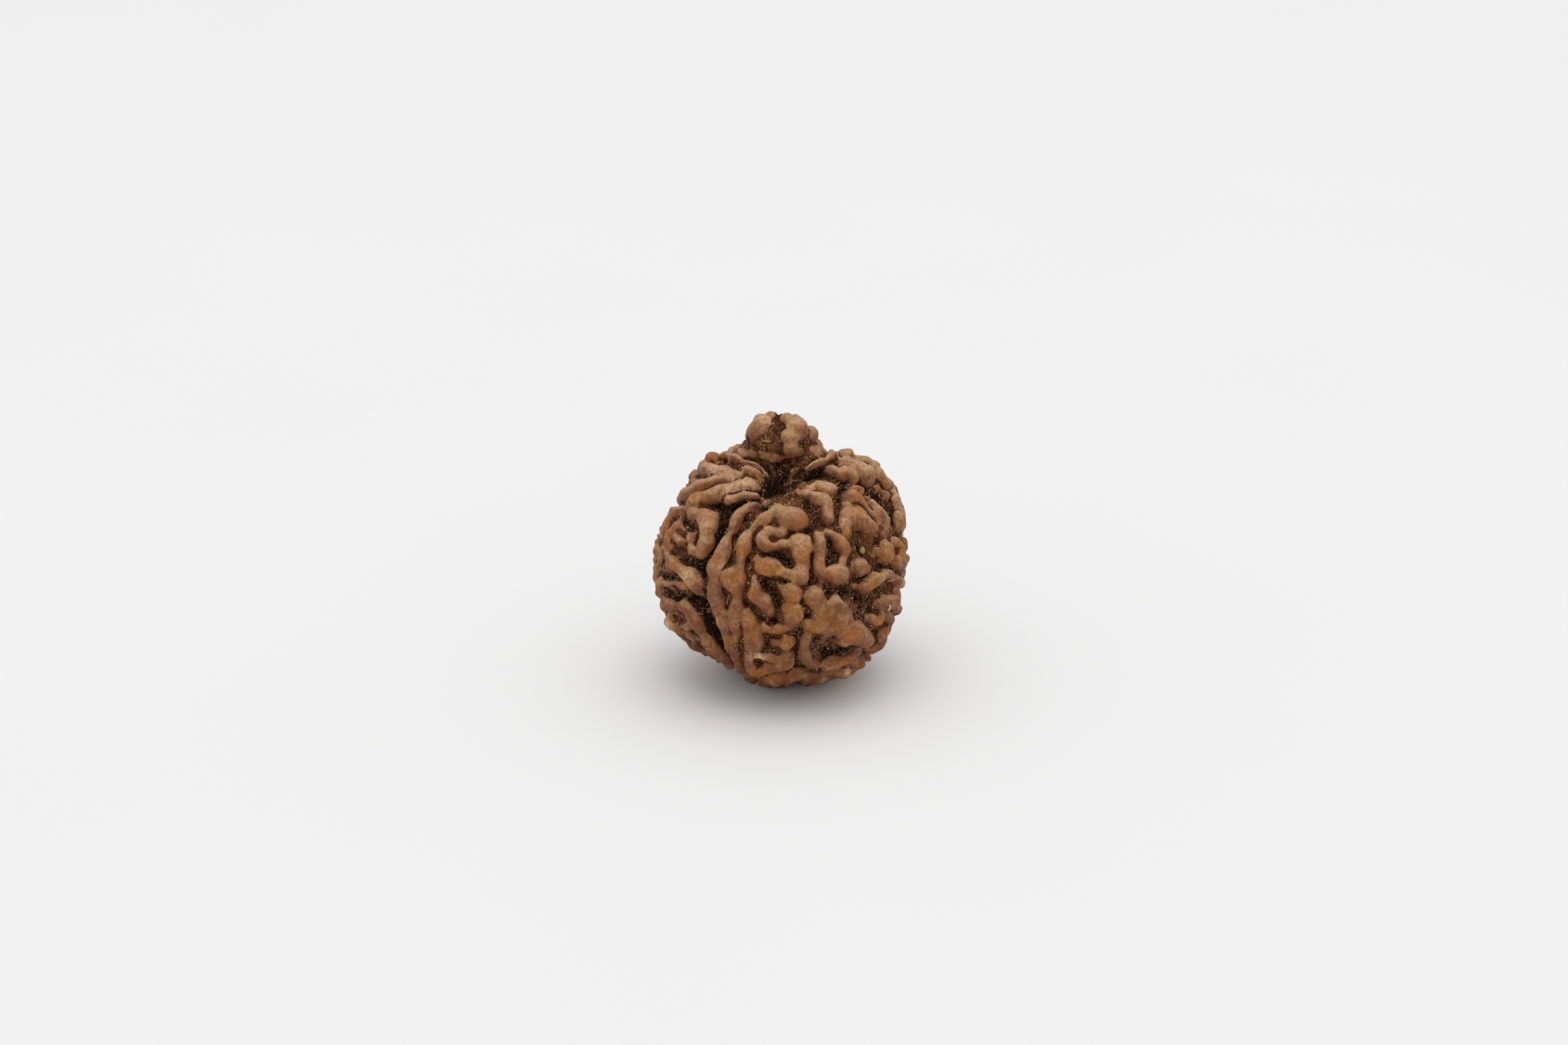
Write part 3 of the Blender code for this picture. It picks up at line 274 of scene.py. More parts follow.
# The stub beside the hole: its round core and the swelling that it stands on, each as a place in the
# picture, how far it stands nearer the eye than the stone's middle, and half-sizes
STUB_IN_PICTURE = (1170, 655)
STUB_TOWARDS_EYE = 0.0032
STUB_HALF_SIZES = (0.00275, 0.00215, 0.00190)
ROOT_IN_PICTURE = (1170, 677)
ROOT_TOWARDS_EYE = 0.0020
ROOT_HALF_SIZES = (0.00360, 0.00240, 0.00200)

# The rounded lobes that the picture shows on the stub: place, how far nearer the eye than the stone's
# middle, and half-sizes in pixels
STUB_LOBES = {
    "left_lobe": ((1144, 644), 0.0040, (19, 19, 24)),
    "left_top": ((1155, 630), 0.0037, (10, 12, 14)),
    "right_lobe": ((1191, 647), 0.0042, (21, 21, 23)),
    "right_top": ((1180, 633), 0.0042, (13, 13, 14)),
    "right_brow": ((1200, 641), 0.0050, (12, 12, 12)),
    "right_cheek": ((1186, 655), 0.0052, (16, 14, 12)),
    "chin": ((1187, 674), 0.0052, (13, 13, 13)),
    "side_lobe": ((1217, 652), 0.0028, (10, 14, 14)),
    "left_fold": ((1131, 655), 0.0042, (7, 8, 15)),
    "back_lobe": ((1167, 649), 0.0012, (34, 20, 22)),
}

# The rounded tops of the ridges that make the stone's skyline on either side of the stub, given alike
SKYLINE_LOBES = {
    "blade_tip": ((1269, 680), 0.0007, (11, 13, 7)),
    "rim_top": ((1289, 693), 0.0006, (20, 14, 10)),
    "rim_shoulder": ((1304, 699), 0.0006, (17, 12, 10)),
    "far_tip": ((1070, 685), 0.0007, (12, 12, 6)),
    "far_top": ((1062, 698), 0.0006, (14, 12, 10)),
}

# The roots that run down from the stub on either side, as ridges
STUB_ROOTS = {
    "left_root": ((1103, 675, 7), (1114, 667, 8), (1124, 661, 8)),
    "right_root": ((1244, 682, 5), (1233, 678, 6), (1223, 671, 7)),
}

# Every cleft is a narrow cut in a wide shallow one, and runs on down its side to the far pole
CLEFT_CORE_SHARE = 0.7
CLEFT_SKIRT = 3.5
CLEFT_STEP_DEGREES = 8
CLEFT_END_DEGREES = 172

# The rule for the sides that the picture doesn't show: waves of one length in random directions, whose
# sum winds about like the real ridges. The cords along each cleft come from lifting that sum there.
HIDDEN_CLEFT_TURNS = (118, 168, 222)
HIDDEN_CLEFT_HALF_WIDTH = 0.00034
HIDDEN_CLEFT_DEPTH = 0.00070
HIDDEN_CLEFT_SWAY_DEGREES = 5
HIDDEN_CLEFT_START_DEGREES = 14
WAVE_SEED = 5
WAVE_COUNT = 48
WAVE_LENGTH = 0.00255
WINDING_HEIGHT = 0.00082
WINDING_EDGE = 0.62
WINDING_BIAS = 0.14
WINDING_ROUNDNESS = 0.7
UNEVENNESS = 0.22
UNEVEN_LENGTH = 2.3 * WAVE_LENGTH
LIP_LIFT = 1.3
LIP_OFFSET = 0.00045
LIP_SPREAD = 0.00040
STARTS_AT = 0.46
FULL_AT = 0.26
CLEAR_OF_CLEFT = 0.00050
CLEAR_OF_RIDGE = 0.00040
CLEAR_OF_HOLE = math.radians(13)
STUB_WAVE_LENGTH = 0.0024
STUB_WINDING_HEIGHT = 0.00045
STUB_WINDING_EDGE = 0.5

# How finely the shown stone is made
BODY_CUTS = 150
STUB_CUTS = 55
LOBE_CUTS = 31
RIDGE_STEP = 0.00020
RIDGE_SIDES = 20
FUSING_VOXEL = 0.000125
SMOOTHING_ROUNDS = 5
STONE_TRIANGLES = 190000


def picture_axes():
    """Right, up and back of the picture, as unit vectors."""
    right = np.array((1.0, 0.0, 0.0))
    up = np.array((0.0, math.sin(VIEW_TILT), math.cos(VIEW_TILT)))
    back = np.array((0.0, -math.cos(VIEW_TILT), math.sin(VIEW_TILT)))
    return right, up, back


RIGHT, UP, BACK = picture_axes()


def sight_line(x, y):
    """Unit vector of the sight line through a pixel."""
    across = (x - PICTURE_CENTRE[0]) / LENS_IN_PIXELS
    above = (PICTURE_CENTRE[1] - y) / LENS_IN_PIXELS
    line = across * RIGHT + above * UP - BACK
    return line / np.linalg.norm(line)


# The eye, seen from the middle of the stone, which is where the solid is built round
EYE = -sight_line(*SEED_CENTRE) * LENS_IN_PIXELS * PIXEL


def meets_ball(x, y, centre, radius):
    """Where the sight line through a pixel meets a ball, or its nearest point to a ball that it misses."""
    line = sight_line(x, y)
    gap = EYE - centre
    along = gap @ line
    reach = along * along - gap @ gap + radius * radius
    return EYE + line * (-along - math.sqrt(max(reach, 0.0)))


def unit(vectors):
    """Vectors of length one."""
    return vectors / np.linalg.norm(vectors, axis=-1, keepdims=True)


POLE = unit(meets_ball(*POLE_IN_PICTURE, np.zeros(3), VALLEY_RADIUS - FUNNEL_DEPTH / 2))


def fall(angles, spread):
    """1 at the middle of a swelling or a hollow, and 0 well outside its spread."""
    return np.exp(-((angles / spread) ** 2))


def angles_from(directions, middle):
    """Angle between each direction and one other."""
    return np.arccos(np.clip(directions @ middle, -1.0, 1.0))


SWELLING_MIDDLES = [unit(meets_ball(*place, np.zeros(3), VALLEY_RADIUS)) for place, _, _ in SWELLINGS]


def floor_of_valleys(directions):
    """Radius of the body between its ridges, without the clefts."""
    radius = np.full(directions.shape[:-1], VALLEY_RADIUS)
    for middle, (_, height, spread) in zip(SWELLING_MIDDLES, SWELLINGS):
        radius = radius + height * fall(angles_from(directions, middle), spread)
    radius = radius - FUNNEL_DEPTH * fall(angles_from(directions, POLE), FUNNEL_SPREAD)
    radius = radius - DIMPLE_DEPTH * fall(angles_from(directions, -POLE), DIMPLE_SPREAD)
    return np.minimum(radius, SEAT_DISTANCE / np.maximum(-directions[..., 2], 0.1))


def on_body(x, y, height=0.0):
    """Direction from the stone's middle to where a pixel sees it, at a height above its valleys."""
    radius = VALLEY_RADIUS
    for _ in range(6):
        direction = unit(meets_ball(x, y, np.zeros(3), radius))
        radius = float(floor_of_valleys(direction)) + height
    return direction


# Turns round the pole are counted from the side that faces the picture
POLE_FRONT = unit(BACK - (BACK @ POLE) * POLE)
POLE_SIDE = np.cross(POLE, POLE_FRONT)


def turned(turn, fall_from_pole):
    """Direction at a turn round the pole and an angle down from it, in degrees."""
    round_pole, down = math.radians(turn), math.radians(fall_from_pole)
    level = math.cos(round_pole) * POLE_FRONT + math.sin(round_pole) * POLE_SIDE
    return math.cos(down) * POLE + math.sin(down) * level


def turn_of(direction):
    """Turn round the pole of a direction, in degrees."""
    return math.degrees(math.atan2(direction @ POLE_SIDE, direction @ POLE_FRONT))


def cleft_routes():
    """(half-width, depth, directions) of every cleft, each running on down its side to the far pole."""
    routes = []
    for width, depth, pixels in NEAR_CLEFTS.values():
        seen = [on_body(x, y) for x, y in pixels]
        last = seen[-1]
        drop = math.degrees(math.acos(float(last @ POLE)))
        falls = range(int(drop) + CLEFT_STEP_DEGREES, CLEFT_END_DEGREES, CLEFT_STEP_DEGREES)
        on_down = [turned(turn_of(last), a) for a in falls]
        routes.append((width, depth, np.array(seen + on_down)))
    for number, turn in enumerate(HIDDEN_CLEFT_TURNS):
        route = []
        for a in range(HIDDEN_CLEFT_START_DEGREES, CLEFT_END_DEGREES, CLEFT_STEP_DEGREES):
            sway = HIDDEN_CLEFT_SWAY_DEGREES * math.sin(math.radians(3 * a + 70 * number))
            route.append(turned(turn + sway, a))
        routes.append((HIDDEN_CLEFT_HALF_WIDTH, HIDDEN_CLEFT_DEPTH, np.array(route)))
    return routes


CLEFTS = cleft_routes()


def distance_to_route(directions, route):
    """Distance over the body from each direction to the nearest point of a route."""
    nearest = np.full(len(directions), np.inf)
    for start, end in zip(route[:-1], route[1:]):
        span = end - start
        share = np.clip((directions - start) @ span / (span @ span), 0.0, 1.0)
        foot = start + share[:, None] * span
        nearest = np.minimum(nearest, np.linalg.norm(directions - foot, axis=1))
    return nearest * VALLEY_RADIUS


def draw_waves():
    """Random wave directions, as unit vectors, and where each wave starts."""
    draw = random.Random(WAVE_SEED)
    headings = unit(np.array([[draw.gauss(0, 1) for _ in range(3)] for _ in range(WAVE_COUNT)]))
    starts = np.array([draw.uniform(0, 2 * math.pi) for _ in range(WAVE_COUNT)])
    return headings, starts


WAVE_HEADINGS, WAVE_STARTS = draw_waves()


def winding(places, wave_length):
    """A number near -1 to 1 whose high parts wind about in bands, half a wave wide."""
    phase = places @ WAVE_HEADINGS.T * (2 * math.pi / wave_length) + WAVE_STARTS
    return np.cos(phase).sum(axis=1) / math.sqrt(WAVE_COUNT / 2)


def apron(directions):
    """Height of the slopes that the near ridges stand on, which also fill the ground between close ones."""
    height = np.zeros(len(directions))
    for route in NEAR_ROUTES:
        widest = max(width for _, width in route)
        away = distance_to_route(directions, np.array([direction for direction, _ in route]))
        slope = APRON_SHARE * ridge_height(widest) * (1 - ramp(away, 0.5 * widest, widest + APRON_SPREAD))
        height = np.maximum(height, slope)
    return height


def body_radius(directions):
    """Radius of the body under its ridges, with the clefts, the hole and the valleys' crumbly floor."""
    radius = floor_of_valleys(directions) + GRAIN_HEIGHT * winding(directions * VALLEY_RADIUS, GRAIN_LENGTH)
    radius = radius + apron(directions)
    radius = radius - HOLE_DEPTH * fall(angles_from(directions, POLE), HOLE_SPREAD) ** 2
    for width, depth, route in CLEFTS:
        away = distance_to_route(directions, route)
        radius = radius - depth * CLEFT_CORE_SHARE * fall(away, width)
        radius = radius - depth * (1 - CLEFT_CORE_SHARE) * fall(away, CLEFT_SKIRT * width)
    for half_width, depth, pixels in HOLLOWS:
        away = distance_to_route(directions, np.array([on_body(x, y) for x, y in pixels]))
        radius = radius - depth * fall(away, half_width * PIXEL)
    return radius


def ridged_radius(directions):
    """Radius of the body with the ridges that the rule grows."""
    return body_radius(directions) + hidden_relief(directions)


def eased(points, step):
    """A smooth run of points, a step apart, through a few given ones (Catmull-Rom)."""
    points = np.asarray(points, float)
    if len(points) == 1:
        return points
    padded = np.vstack((2 * points[0] - points[1], points, 2 * points[-1] - points[-2]))
    made = []
    for before, start, end, after in zip(padded[:-3], padded[1:-2], padded[2:-1], padded[3:]):
        count = max(1, round(float(np.linalg.norm((end - start)[:3])) / step))
        for t in np.arange(count) / count:
            square = 2 * before - 5 * start + 4 * end - after
            cube = 3 * start - before - 3 * end + after
            made.append(0.5 * (2 * start + (end - before) * t + square * t**2 + cube * t**3))
    made.append(points[-1])
    return np.array(made)


def ridge_height(half_width):
    """How far a ridge of this half-width stands above the valleys."""
    return min(RIDGE_HEIGHT_MOST, RIDGE_HEIGHT_LEAST + RIDGE_HEIGHT_SHARE * half_width)


def sausage(bm, stations):
    """A closed round-ended bar through stations of (middle, outward normal, half-width, half-height)."""
    middles = np.array([s[0] for s in stations])
    if len(middles) > 1:
        heading = unit(np.gradient(middles, axis=0))
    else:
        heading = unit(np.cross(stations[0][1], RIGHT))[None, :]
    rings = []

    def ring(middle, normal, ahead, half_width, half_height):
        across = unit(np.cross(ahead, normal))
        corners = []
        for n in range(RIDGE_SIDES):
            a = 2 * math.pi * n / RIDGE_SIDES
            aside = math.copysign(abs(math.cos(a)) ** RIDGE_SQUARENESS, math.cos(a))
            above = math.copysign(abs(math.sin(a)) ** RIDGE_SQUARENESS, math.sin(a))
            corners.append(bm.verts.new(middle + across * half_width * aside + normal * half_height * above))
        rings.append(corners)

    cap_angles = [math.radians(a) for a in (80, 60, 38, 18)]
    first, last = stations[0], stations[-1]
    for a in cap_angles:
        ring(first[0] - heading[0] * first[2] * math.sin(a), first[1], heading[0], first[2] * math.cos(a),
            first[3] * math.cos(a))
    for (middle, normal, half_width, half_height), ahead in zip(stations, heading):
        ring(middle, normal, ahead, half_width, half_height)
    for a in reversed(cap_angles):
        ring(last[0] + heading[-1] * last[2] * math.sin(a), last[1], heading[-1], last[2] * math.cos(a),
            last[3] * math.cos(a))
    for near, far in zip(rings[:-1], rings[1:]):
        for n in range(RIDGE_SIDES):
            m = (n + 1) % RIDGE_SIDES
            bm.faces.new((near[n], far[n], far[m], near[m]))
    bm.faces.new(rings[0])
    bm.faces.new(reversed(rings[-1]))


# The way that ridges wander is square to this, so that it is never along the line of sight
RIDGE_SLANT = unit(RIGHT + UP)


def body_ridge(bm, route):
    """A ridge on the body along (direction, half-width) points."""
    ends = eased([(*direction, width) for direction, width in route], RIDGE_STEP / VALLEY_RADIUS)
    stations = []
    for *direction, width in ends:
        normal = unit(np.array(direction))
        lump = winding(normal[None, :] * VALLEY_RADIUS, RIDGE_LUMP_LENGTH)[0]
        aside = winding(-normal[None, :] * VALLEY_RADIUS, RIDGE_LUMP_LENGTH)[0]
        across = unit(np.cross(normal, RIDGE_SLANT))
        middle = normal * float(floor_of_valleys(normal)) + RIDGE_WANDER * aside * across
        swollen = width * RIDGE_FULLNESS * (1 + RIDGE_UNEVENNESS * lump)
        raised = ridge_height(width) * (1 + HEIGHT_UNEVENNESS * lump)
        stations.append((middle, normal, swollen, raised))
    sausage(bm, stations)


def seen_route(pixels):
    """A ridge that the picture shows, as a route of (direction, half-width)."""
    return [(on_body(x, y, 0.7 * ridge_height(w * PIXEL)), w * PIXEL) for x, y, w in pixels]


NEAR_ROUTES = [seen_route(pixels) for pixels in NEAR_RIDGES.values()]


def ramp(values, low, high):
    """0 below low, 1 above high, and a smooth rise between them."""
    share = np.clip((values - low) / (high - low), 0.0, 1.0)
    return share * share * (3 - 2 * share)


def hidden_relief(directions):
    """Height of the ridges that the rule grows where the picture shows none."""
    shown = ramp(directions @ BACK, FULL_AT, STARTS_AT)
    open_ground = 1 - shown
    open_ground *= ramp(angles_from(directions, POLE), CLEAR_OF_HOLE, 1.6 * CLEAR_OF_HOLE)
    for route in NEAR_ROUTES:
        widest = max(width for _, width in route)
        away = distance_to_route(directions, np.array([direction for direction, _ in route]))
        open_ground *= ramp(away, widest, widest + 2 * CLEAR_OF_RIDGE)
    lift = np.zeros(len(directions))
    for width, _, route in CLEFTS:
        away = distance_to_route(directions, route)
        open_ground *= ramp(away, 0.0, width + CLEAR_OF_CLEFT)
        lift = np.maximum(lift, LIP_LIFT * fall(away - width - LIP_OFFSET, LIP_SPREAD))
    band = winding(directions * VALLEY_RADIUS, WAVE_LENGTH) + lift + WINDING_BIAS
    uneven = 1 + UNEVENNESS * winding(directions * VALLEY_RADIUS, UNEVEN_LENGTH)
    swell = ramp(band, -WINDING_EDGE, WINDING_EDGE) ** WINDING_ROUNDNESS
    return WINDING_HEIGHT * uneven * swell * open_ground


def towards_eye(x, y, depth):
    """Point on the sight line of a pixel, this much nearer the eye than the stone's middle."""
    line = sight_line(x, y)
    return EYE + line * (EYE @ BACK - depth) / -(line @ BACK)


STUB_MIDDLE = towards_eye(*STUB_IN_PICTURE, STUB_TOWARDS_EYE)
ROOT_MIDDLE = towards_eye(*ROOT_IN_PICTURE, ROOT_TOWARDS_EYE)


def round_body(bm, middle, radius_of, cuts):
    """A ball of nearly square faces, each corner put at the radius for its direction."""
    ball = bmesh.new()
    bmesh.ops.create_cube(ball, size=2.0)
    bmesh.ops.subdivide_edges(ball, edges=ball.edges[:], cuts=cuts, use_grid_fill=True)
    directions = unit(np.tan(np.array([corner.co for corner in ball.verts]) * math.pi / 4))
    places = middle + directions * radius_of(directions)[:, None]
    for corner, place in zip(ball.verts, places):
        corner.co = place
    mesh = bpy.data.meshes.new("ball")
    ball.to_mesh(mesh)
    ball.free()
    bm.from_mesh(mesh)
    bpy.data.meshes.remove(mesh)


def egg_radius(directions, half_sizes):
    """Radius of an egg of these half-sizes."""
    return 1 / np.linalg.norm(directions / np.array(half_sizes), axis=1)


def stub_radius(directions):
    """Radius of the stub's core."""
    hidden = 1 - ramp(directions @ BACK, 0.2, 0.5)
    band = winding(STUB_MIDDLE + directions * STUB_HALF_SIZES[0], STUB_WAVE_LENGTH)
    lumps = STUB_WINDING_HEIGHT * hidden * ramp(band, -STUB_WINDING_EDGE, STUB_WINDING_EDGE)
    return egg_radius(directions, STUB_HALF_SIZES) + lumps


def root_radius(directions):
    """Radius of the swelling that the stub stands on."""
    band = winding(ROOT_MIDDLE + directions * ROOT_HALF_SIZES[0], STUB_WAVE_LENGTH)
    lumps = STUB_WINDING_HEIGHT * ramp(band, -STUB_WINDING_EDGE, STUB_WINDING_EDGE)
    return egg_radius(directions, ROOT_HALF_SIZES) + lumps


def seen_lobe(bm, pixel, depth, half_sizes):
    """A rounded lobe that the picture shows."""
    sizes = np.array(half_sizes) * PIXEL
    round_body(bm, towards_eye(*pixel, depth), lambda directions: egg_radius(directions, sizes), LOBE_CUTS)


def crude_solid():
    """The body, its ridges and the stub, overlapping in one mesh."""
    bm = bmesh.new()
    round_body(bm, np.zeros(3), ridged_radius, BODY_CUTS)
    round_body(bm, STUB_MIDDLE, stub_radius, STUB_CUTS)
    round_body(bm, ROOT_MIDDLE, root_radius, STUB_CUTS)
    for route in NEAR_ROUTES:
        body_ridge(bm, route)
    for pixel, depth, half_sizes in (*STUB_LOBES.values(), *SKYLINE_LOBES.values()):
        seen_lobe(bm, pixel, depth, half_sizes)
    for pixels in STUB_ROOTS.values():
        body_ridge(bm, seen_route(pixels))
    mesh = bpy.data.meshes.new("seed")
    bm.to_mesh(mesh)
    bm.free()
    return mesh


def fused(mesh):
    """The overlapping shapes made one skin, with its creases eased."""
    rough = bpy.data.objects.new("rough", mesh)
    bpy.context.scene.collection.objects.link(rough)
    remesh = rough.modifiers.new("fuse", "REMESH")
    remesh.mode = "VOXEL"
    remesh.voxel_size = FUSING_VOXEL
    smooth = rough.modifiers.new("ease", "SMOOTH")
    smooth.factor = 0.5
    smooth.iterations = SMOOTHING_ROUNDS
    skin = bpy.data.meshes.new_from_object(rough.evaluated_get(bpy.context.evaluated_depsgraph_get()))
    bpy.data.objects.remove(rough)
    return skin


def corners_of(mesh):
    """Places of a mesh's corners."""
    places = np.empty(len(mesh.vertices) * 3, np.float32)
    mesh.vertices.foreach_get("co", places)
    return places.reshape(-1, 3).astype(float)


def normals_of(mesh):
    """Outward normals at a mesh's corners."""
    normals = np.empty(len(mesh.vertices) * 3, np.float32)
    mesh.vertices.foreach_get("normal", normals)
    return normals.reshape(-1, 3).astype(float)


def put_corners(mesh, places):
    """Moves a mesh's corners."""
    mesh.vertices.foreach_set("co", places.astype(np.float32).ravel())
    mesh.update()


# The stub's core and root, and how strongly the height above each counts
STUB_GROUNDS = ((STUB_MIDDLE, STUB_HALF_SIZES, 2.0), (ROOT_MIDDLE, ROOT_HALF_SIZES, 1.0))
STUB_REACH = 0.0014
STUB_CLEARANCE = 0.0010


def height_above_valleys(places):
    """How far each place stands above the floor of the valleys, or above the core of the stub."""
    reach = np.linalg.norm(places, axis=1)
    above = reach - floor_of_valleys(places / reach[:, None])
    for middle, half_sizes, share in STUB_GROUNDS:
        aside = places - middle
        away = np.linalg.norm(aside, axis=1)
        over = (away - egg_radius(aside / away[:, None], half_sizes)) * share
        on_stub = (over < STUB_REACH) & (above > STUB_CLEARANCE)
        above = np.where(on_stub, np.minimum(above, over), above)
    return above


def depth_of_hollows(places):
    """How deep the clefts, the hole and the dark hollows cut in under each place."""
    directions = unit(places)
    return floor_of_valleys(directions) + apron(directions) - body_radius(directions)


LUMP_LENGTH = 0.00125
LUMP_HEIGHT = 0.000035
CRUMBLE_LENGTH = 0.00046
CRUMBLE_HEIGHT = 0.000055
FINER_LENGTH = 0.47 * CRUMBLE_LENGTH
FINER_SHARE = 0.6
CRUMBLE_ON_RIDGES = 0.12
FLOOR_OF_PULP = 0.00010
TOP_OF_PULP = 0.00045


def fine_relief(places):
    """Small lumps along the ridges, and the crumbly pulp in the valleys."""
    above = height_above_valleys(places)
    in_valley = 1 - ramp(above, FLOOR_OF_PULP, TOP_OF_PULP)
    lumps = LUMP_HEIGHT * winding(places, LUMP_LENGTH) * (1 - in_valley)
    coarse = winding(places, CRUMBLE_LENGTH)
    crumble = CRUMBLE_HEIGHT * (coarse + FINER_SHARE * winding(places, FINER_LENGTH))
    return lumps + crumble * (CRUMBLE_ON_RIDGES + in_valley)


def fine_stone():
    """The stone's skin with its fine relief, built round its own middle."""
    skin = fused(crude_solid())
    places = corners_of(skin)
    put_corners(skin, places + normals_of(skin) * fine_relief(places)[:, None])
    rough = bpy.data.objects.new("rough", skin)
    bpy.context.scene.collection.objects.link(rough)
    fewer = rough.modifiers.new("fewer faces", "DECIMATE")
    skin.calc_loop_triangles()
    fewer.ratio = min(1.0, STONE_TRIANGLES / len(skin.loop_triangles))
    made = bpy.data.meshes.new_from_object(rough.evaluated_get(bpy.context.evaluated_depsgraph_get()))
    bpy.data.objects.remove(rough)
    made.name = "stone"
    return made


def smoothed(places, edges, rounds):
    """Places each moved to the mean of their neighbours, a number of times."""
    ends = np.concatenate((edges, edges[:, ::-1]))
    count = np.bincount(ends[:, 0], minlength=len(places))[:, None]
    for _ in range(rounds):
        beside = places[ends[:, 1]]
        total = [np.bincount(ends[:, 0], beside[:, axis], len(places)) for axis in range(3)]
        places = 0.5 * places + 0.5 * np.stack(total, 1) / count
    return places


def set_attribute(mesh, name, values):
    """Stores one number a corner, for the material to read."""
    layer = mesh.attributes.new(name, "FLOAT", "POINT")
    layer.data.foreach_set("value", values.astype(np.float32))


# What marks the stone: crests rubbed to a waxy ochre, pale dust, dark stains, dull skin, olive-grey film,
# filled hollows, the hole painted near-black as painted shade, and tufts of pulp, each where the picture
# shows it, as (x, y, half-width) in its pixels
WORN = (
    (1150, 851, 13), (1168, 857, 8), (1205, 830, 13), (1203, 866, 9), (1190, 893, 10), (1187, 912, 9),
    (1126, 890, 8), (1113, 826, 9), (1108, 866, 8), (1333, 828, 12), (1350, 822, 9), (1290, 748, 10),
    (1285, 765, 11), (1310, 790, 8), (1050, 745, 14), (1095, 748, 8), (1058, 785, 8), (1280, 687, 12),
    (1275, 950, 13), (1300, 960, 11), (1318, 930, 8), (1297, 853, 8), (1308, 877, 9), (1262, 998, 14),
    (1180, 966, 10), (1165, 943, 9), (1126, 932, 9), (1150, 1010, 14), (1005, 938, 10), (1010, 785, 8),
    (1201, 780, 9), (1240, 735, 10), (1190, 1000, 9), (1206, 632, 8), (1150, 622, 7), (1028, 878, 8),
    (1095, 866, 6), (1218, 940, 8), (1232, 845, 7), (1335, 905, 7), (1127, 1003, 8), (1345, 842, 7),
)
DUSTY = (
    (1095, 740, 15), (1107, 736, 12), (1115, 728, 12), (1036, 866, 14), (1147, 630, 11), (1192, 634, 9),
    (1202, 815, 12), (1240, 730, 12), (1215, 734, 8), (1253, 895, 8), (1266, 783, 8), (1102, 719, 10),
    (1060, 790, 12), (1182, 655, 8), (1100, 738, 9), (1135, 985, 14), (1075, 930, 10), (1196, 828, 8),
    (1323, 872, 7), (1308, 967, 9), (1085, 850, 8), (1075, 705, 16), (1300, 700, 18), (1330, 770, 8),
    (1130, 734, 8), (1256, 855, 9),
)
STAINED = (
    (1175, 778, 8), (1184, 783, 6), (1110, 751, 9), (1130, 664, 8), (1100, 843, 8), (1075, 884, 8),
    (1020, 835, 9), (1245, 808, 6), (1253, 812, 6), (1268, 738, 7), (1160, 834, 9), (1180, 838, 9),
    (1046, 858, 6), (1136, 760, 8), (1262, 732, 8), (1122, 672, 7), (1150, 884, 6), (1212, 745, 6),
    (1218, 700, 6), (1165, 792, 6),
)
DULL = (
    (1070, 870, 16), (1075, 898, 14), (1072, 848, 12), (1084, 928, 12), (1092, 955, 10),
    (1266, 1010, 16), (1245, 1013, 12), (1220, 1013, 10), (1255, 861, 14), (1256, 924, 20),
    (1234, 912, 16), (1203, 846, 11), (1278, 775, 15), (1268, 1000, 15), (1330, 745, 12),
    (1292, 703, 10), (1345, 745, 12), (1120, 800, 8), (1228, 815, 8), (1232, 850, 9), (1242, 762, 10),
    (1075, 980, 14), (1040, 876, 10), (992, 885, 12), (1176, 862, 7), (1050, 727, 12), (1160, 820, 8),
    (1340, 880, 10), (1110, 885, 9), (1315, 968, 12), (1150, 1020, 14), (1190, 1018, 12),
    (1104, 790, 9),
)
FILMED = (
    (1156, 774, 15), (1140, 784, 9), (1184, 652, 14), (1186, 670, 10), (1160, 664, 10), (1336, 770, 16),
    (1330, 745, 12), (1198, 650, 10), (1310, 720, 12), (1086, 800, 8), (1120, 965, 9), (1166, 762, 9),
    (1110, 960, 8), (1060, 960, 8),
)
FILLED = (
    (1113, 672, 12), (1130, 680, 14), (1150, 690, 16), (1170, 697, 14), (1195, 693, 14),
    (1215, 684, 14), (1232, 688, 10), (1150, 655, 14), (1158, 668, 17), (1163, 640, 9), (1140, 668, 13),
    (1185, 745, 24), (1208, 752, 16), (1196, 712, 16), (1150, 745, 10), (1230, 784, 15),
    (1222, 768, 12), (1135, 760, 8), (1262, 732, 12), (1150, 882, 8), (1250, 832, 6), (1100, 838, 5),
    (1092, 902, 5), (1300, 822, 14), (1140, 690, 13), (1262, 736, 12), (1228, 785, 12), (1010, 868, 8),
    (1290, 835, 9), (1340, 770, 7), (1040, 897, 8), (1150, 967, 7), (1020, 896, 10), (1118, 700, 5),
    (1085, 692, 7),
)
HOLE_SHADE = (
    (1163, 722, 9), (1157, 731, 8), (1168, 712, 7), (1150, 738, 5), (1176, 702, 5), (1122, 681, 3),
    (1201, 690, 3),
)
TUFTS = (
    (1000, 877, 10), (1155, 935, 9), (1240, 975, 22), (1092, 900, 8), (1098, 835, 9), (1170, 745, 26),
    (1330, 742, 12), (1252, 838, 8), (1150, 966, 10), (1025, 932, 9), (1160, 868, 10), (1060, 903, 8),
    (1108, 975, 8), (1275, 905, 6), (1038, 790, 10), (1300, 830, 14), (1122, 812, 6), (1140, 690, 16),
    (1163, 665, 12), (1200, 715, 14), (1170, 925, 7), (1205, 905, 6), (1120, 858, 5), (1222, 870, 8),
    (1085, 795, 9), (1045, 850, 8), (1255, 760, 8), (1150, 752, 10), (1230, 790, 8), (1215, 840, 5),
    (1340, 755, 8), (1290, 795, 6), (1010, 866, 8),
)
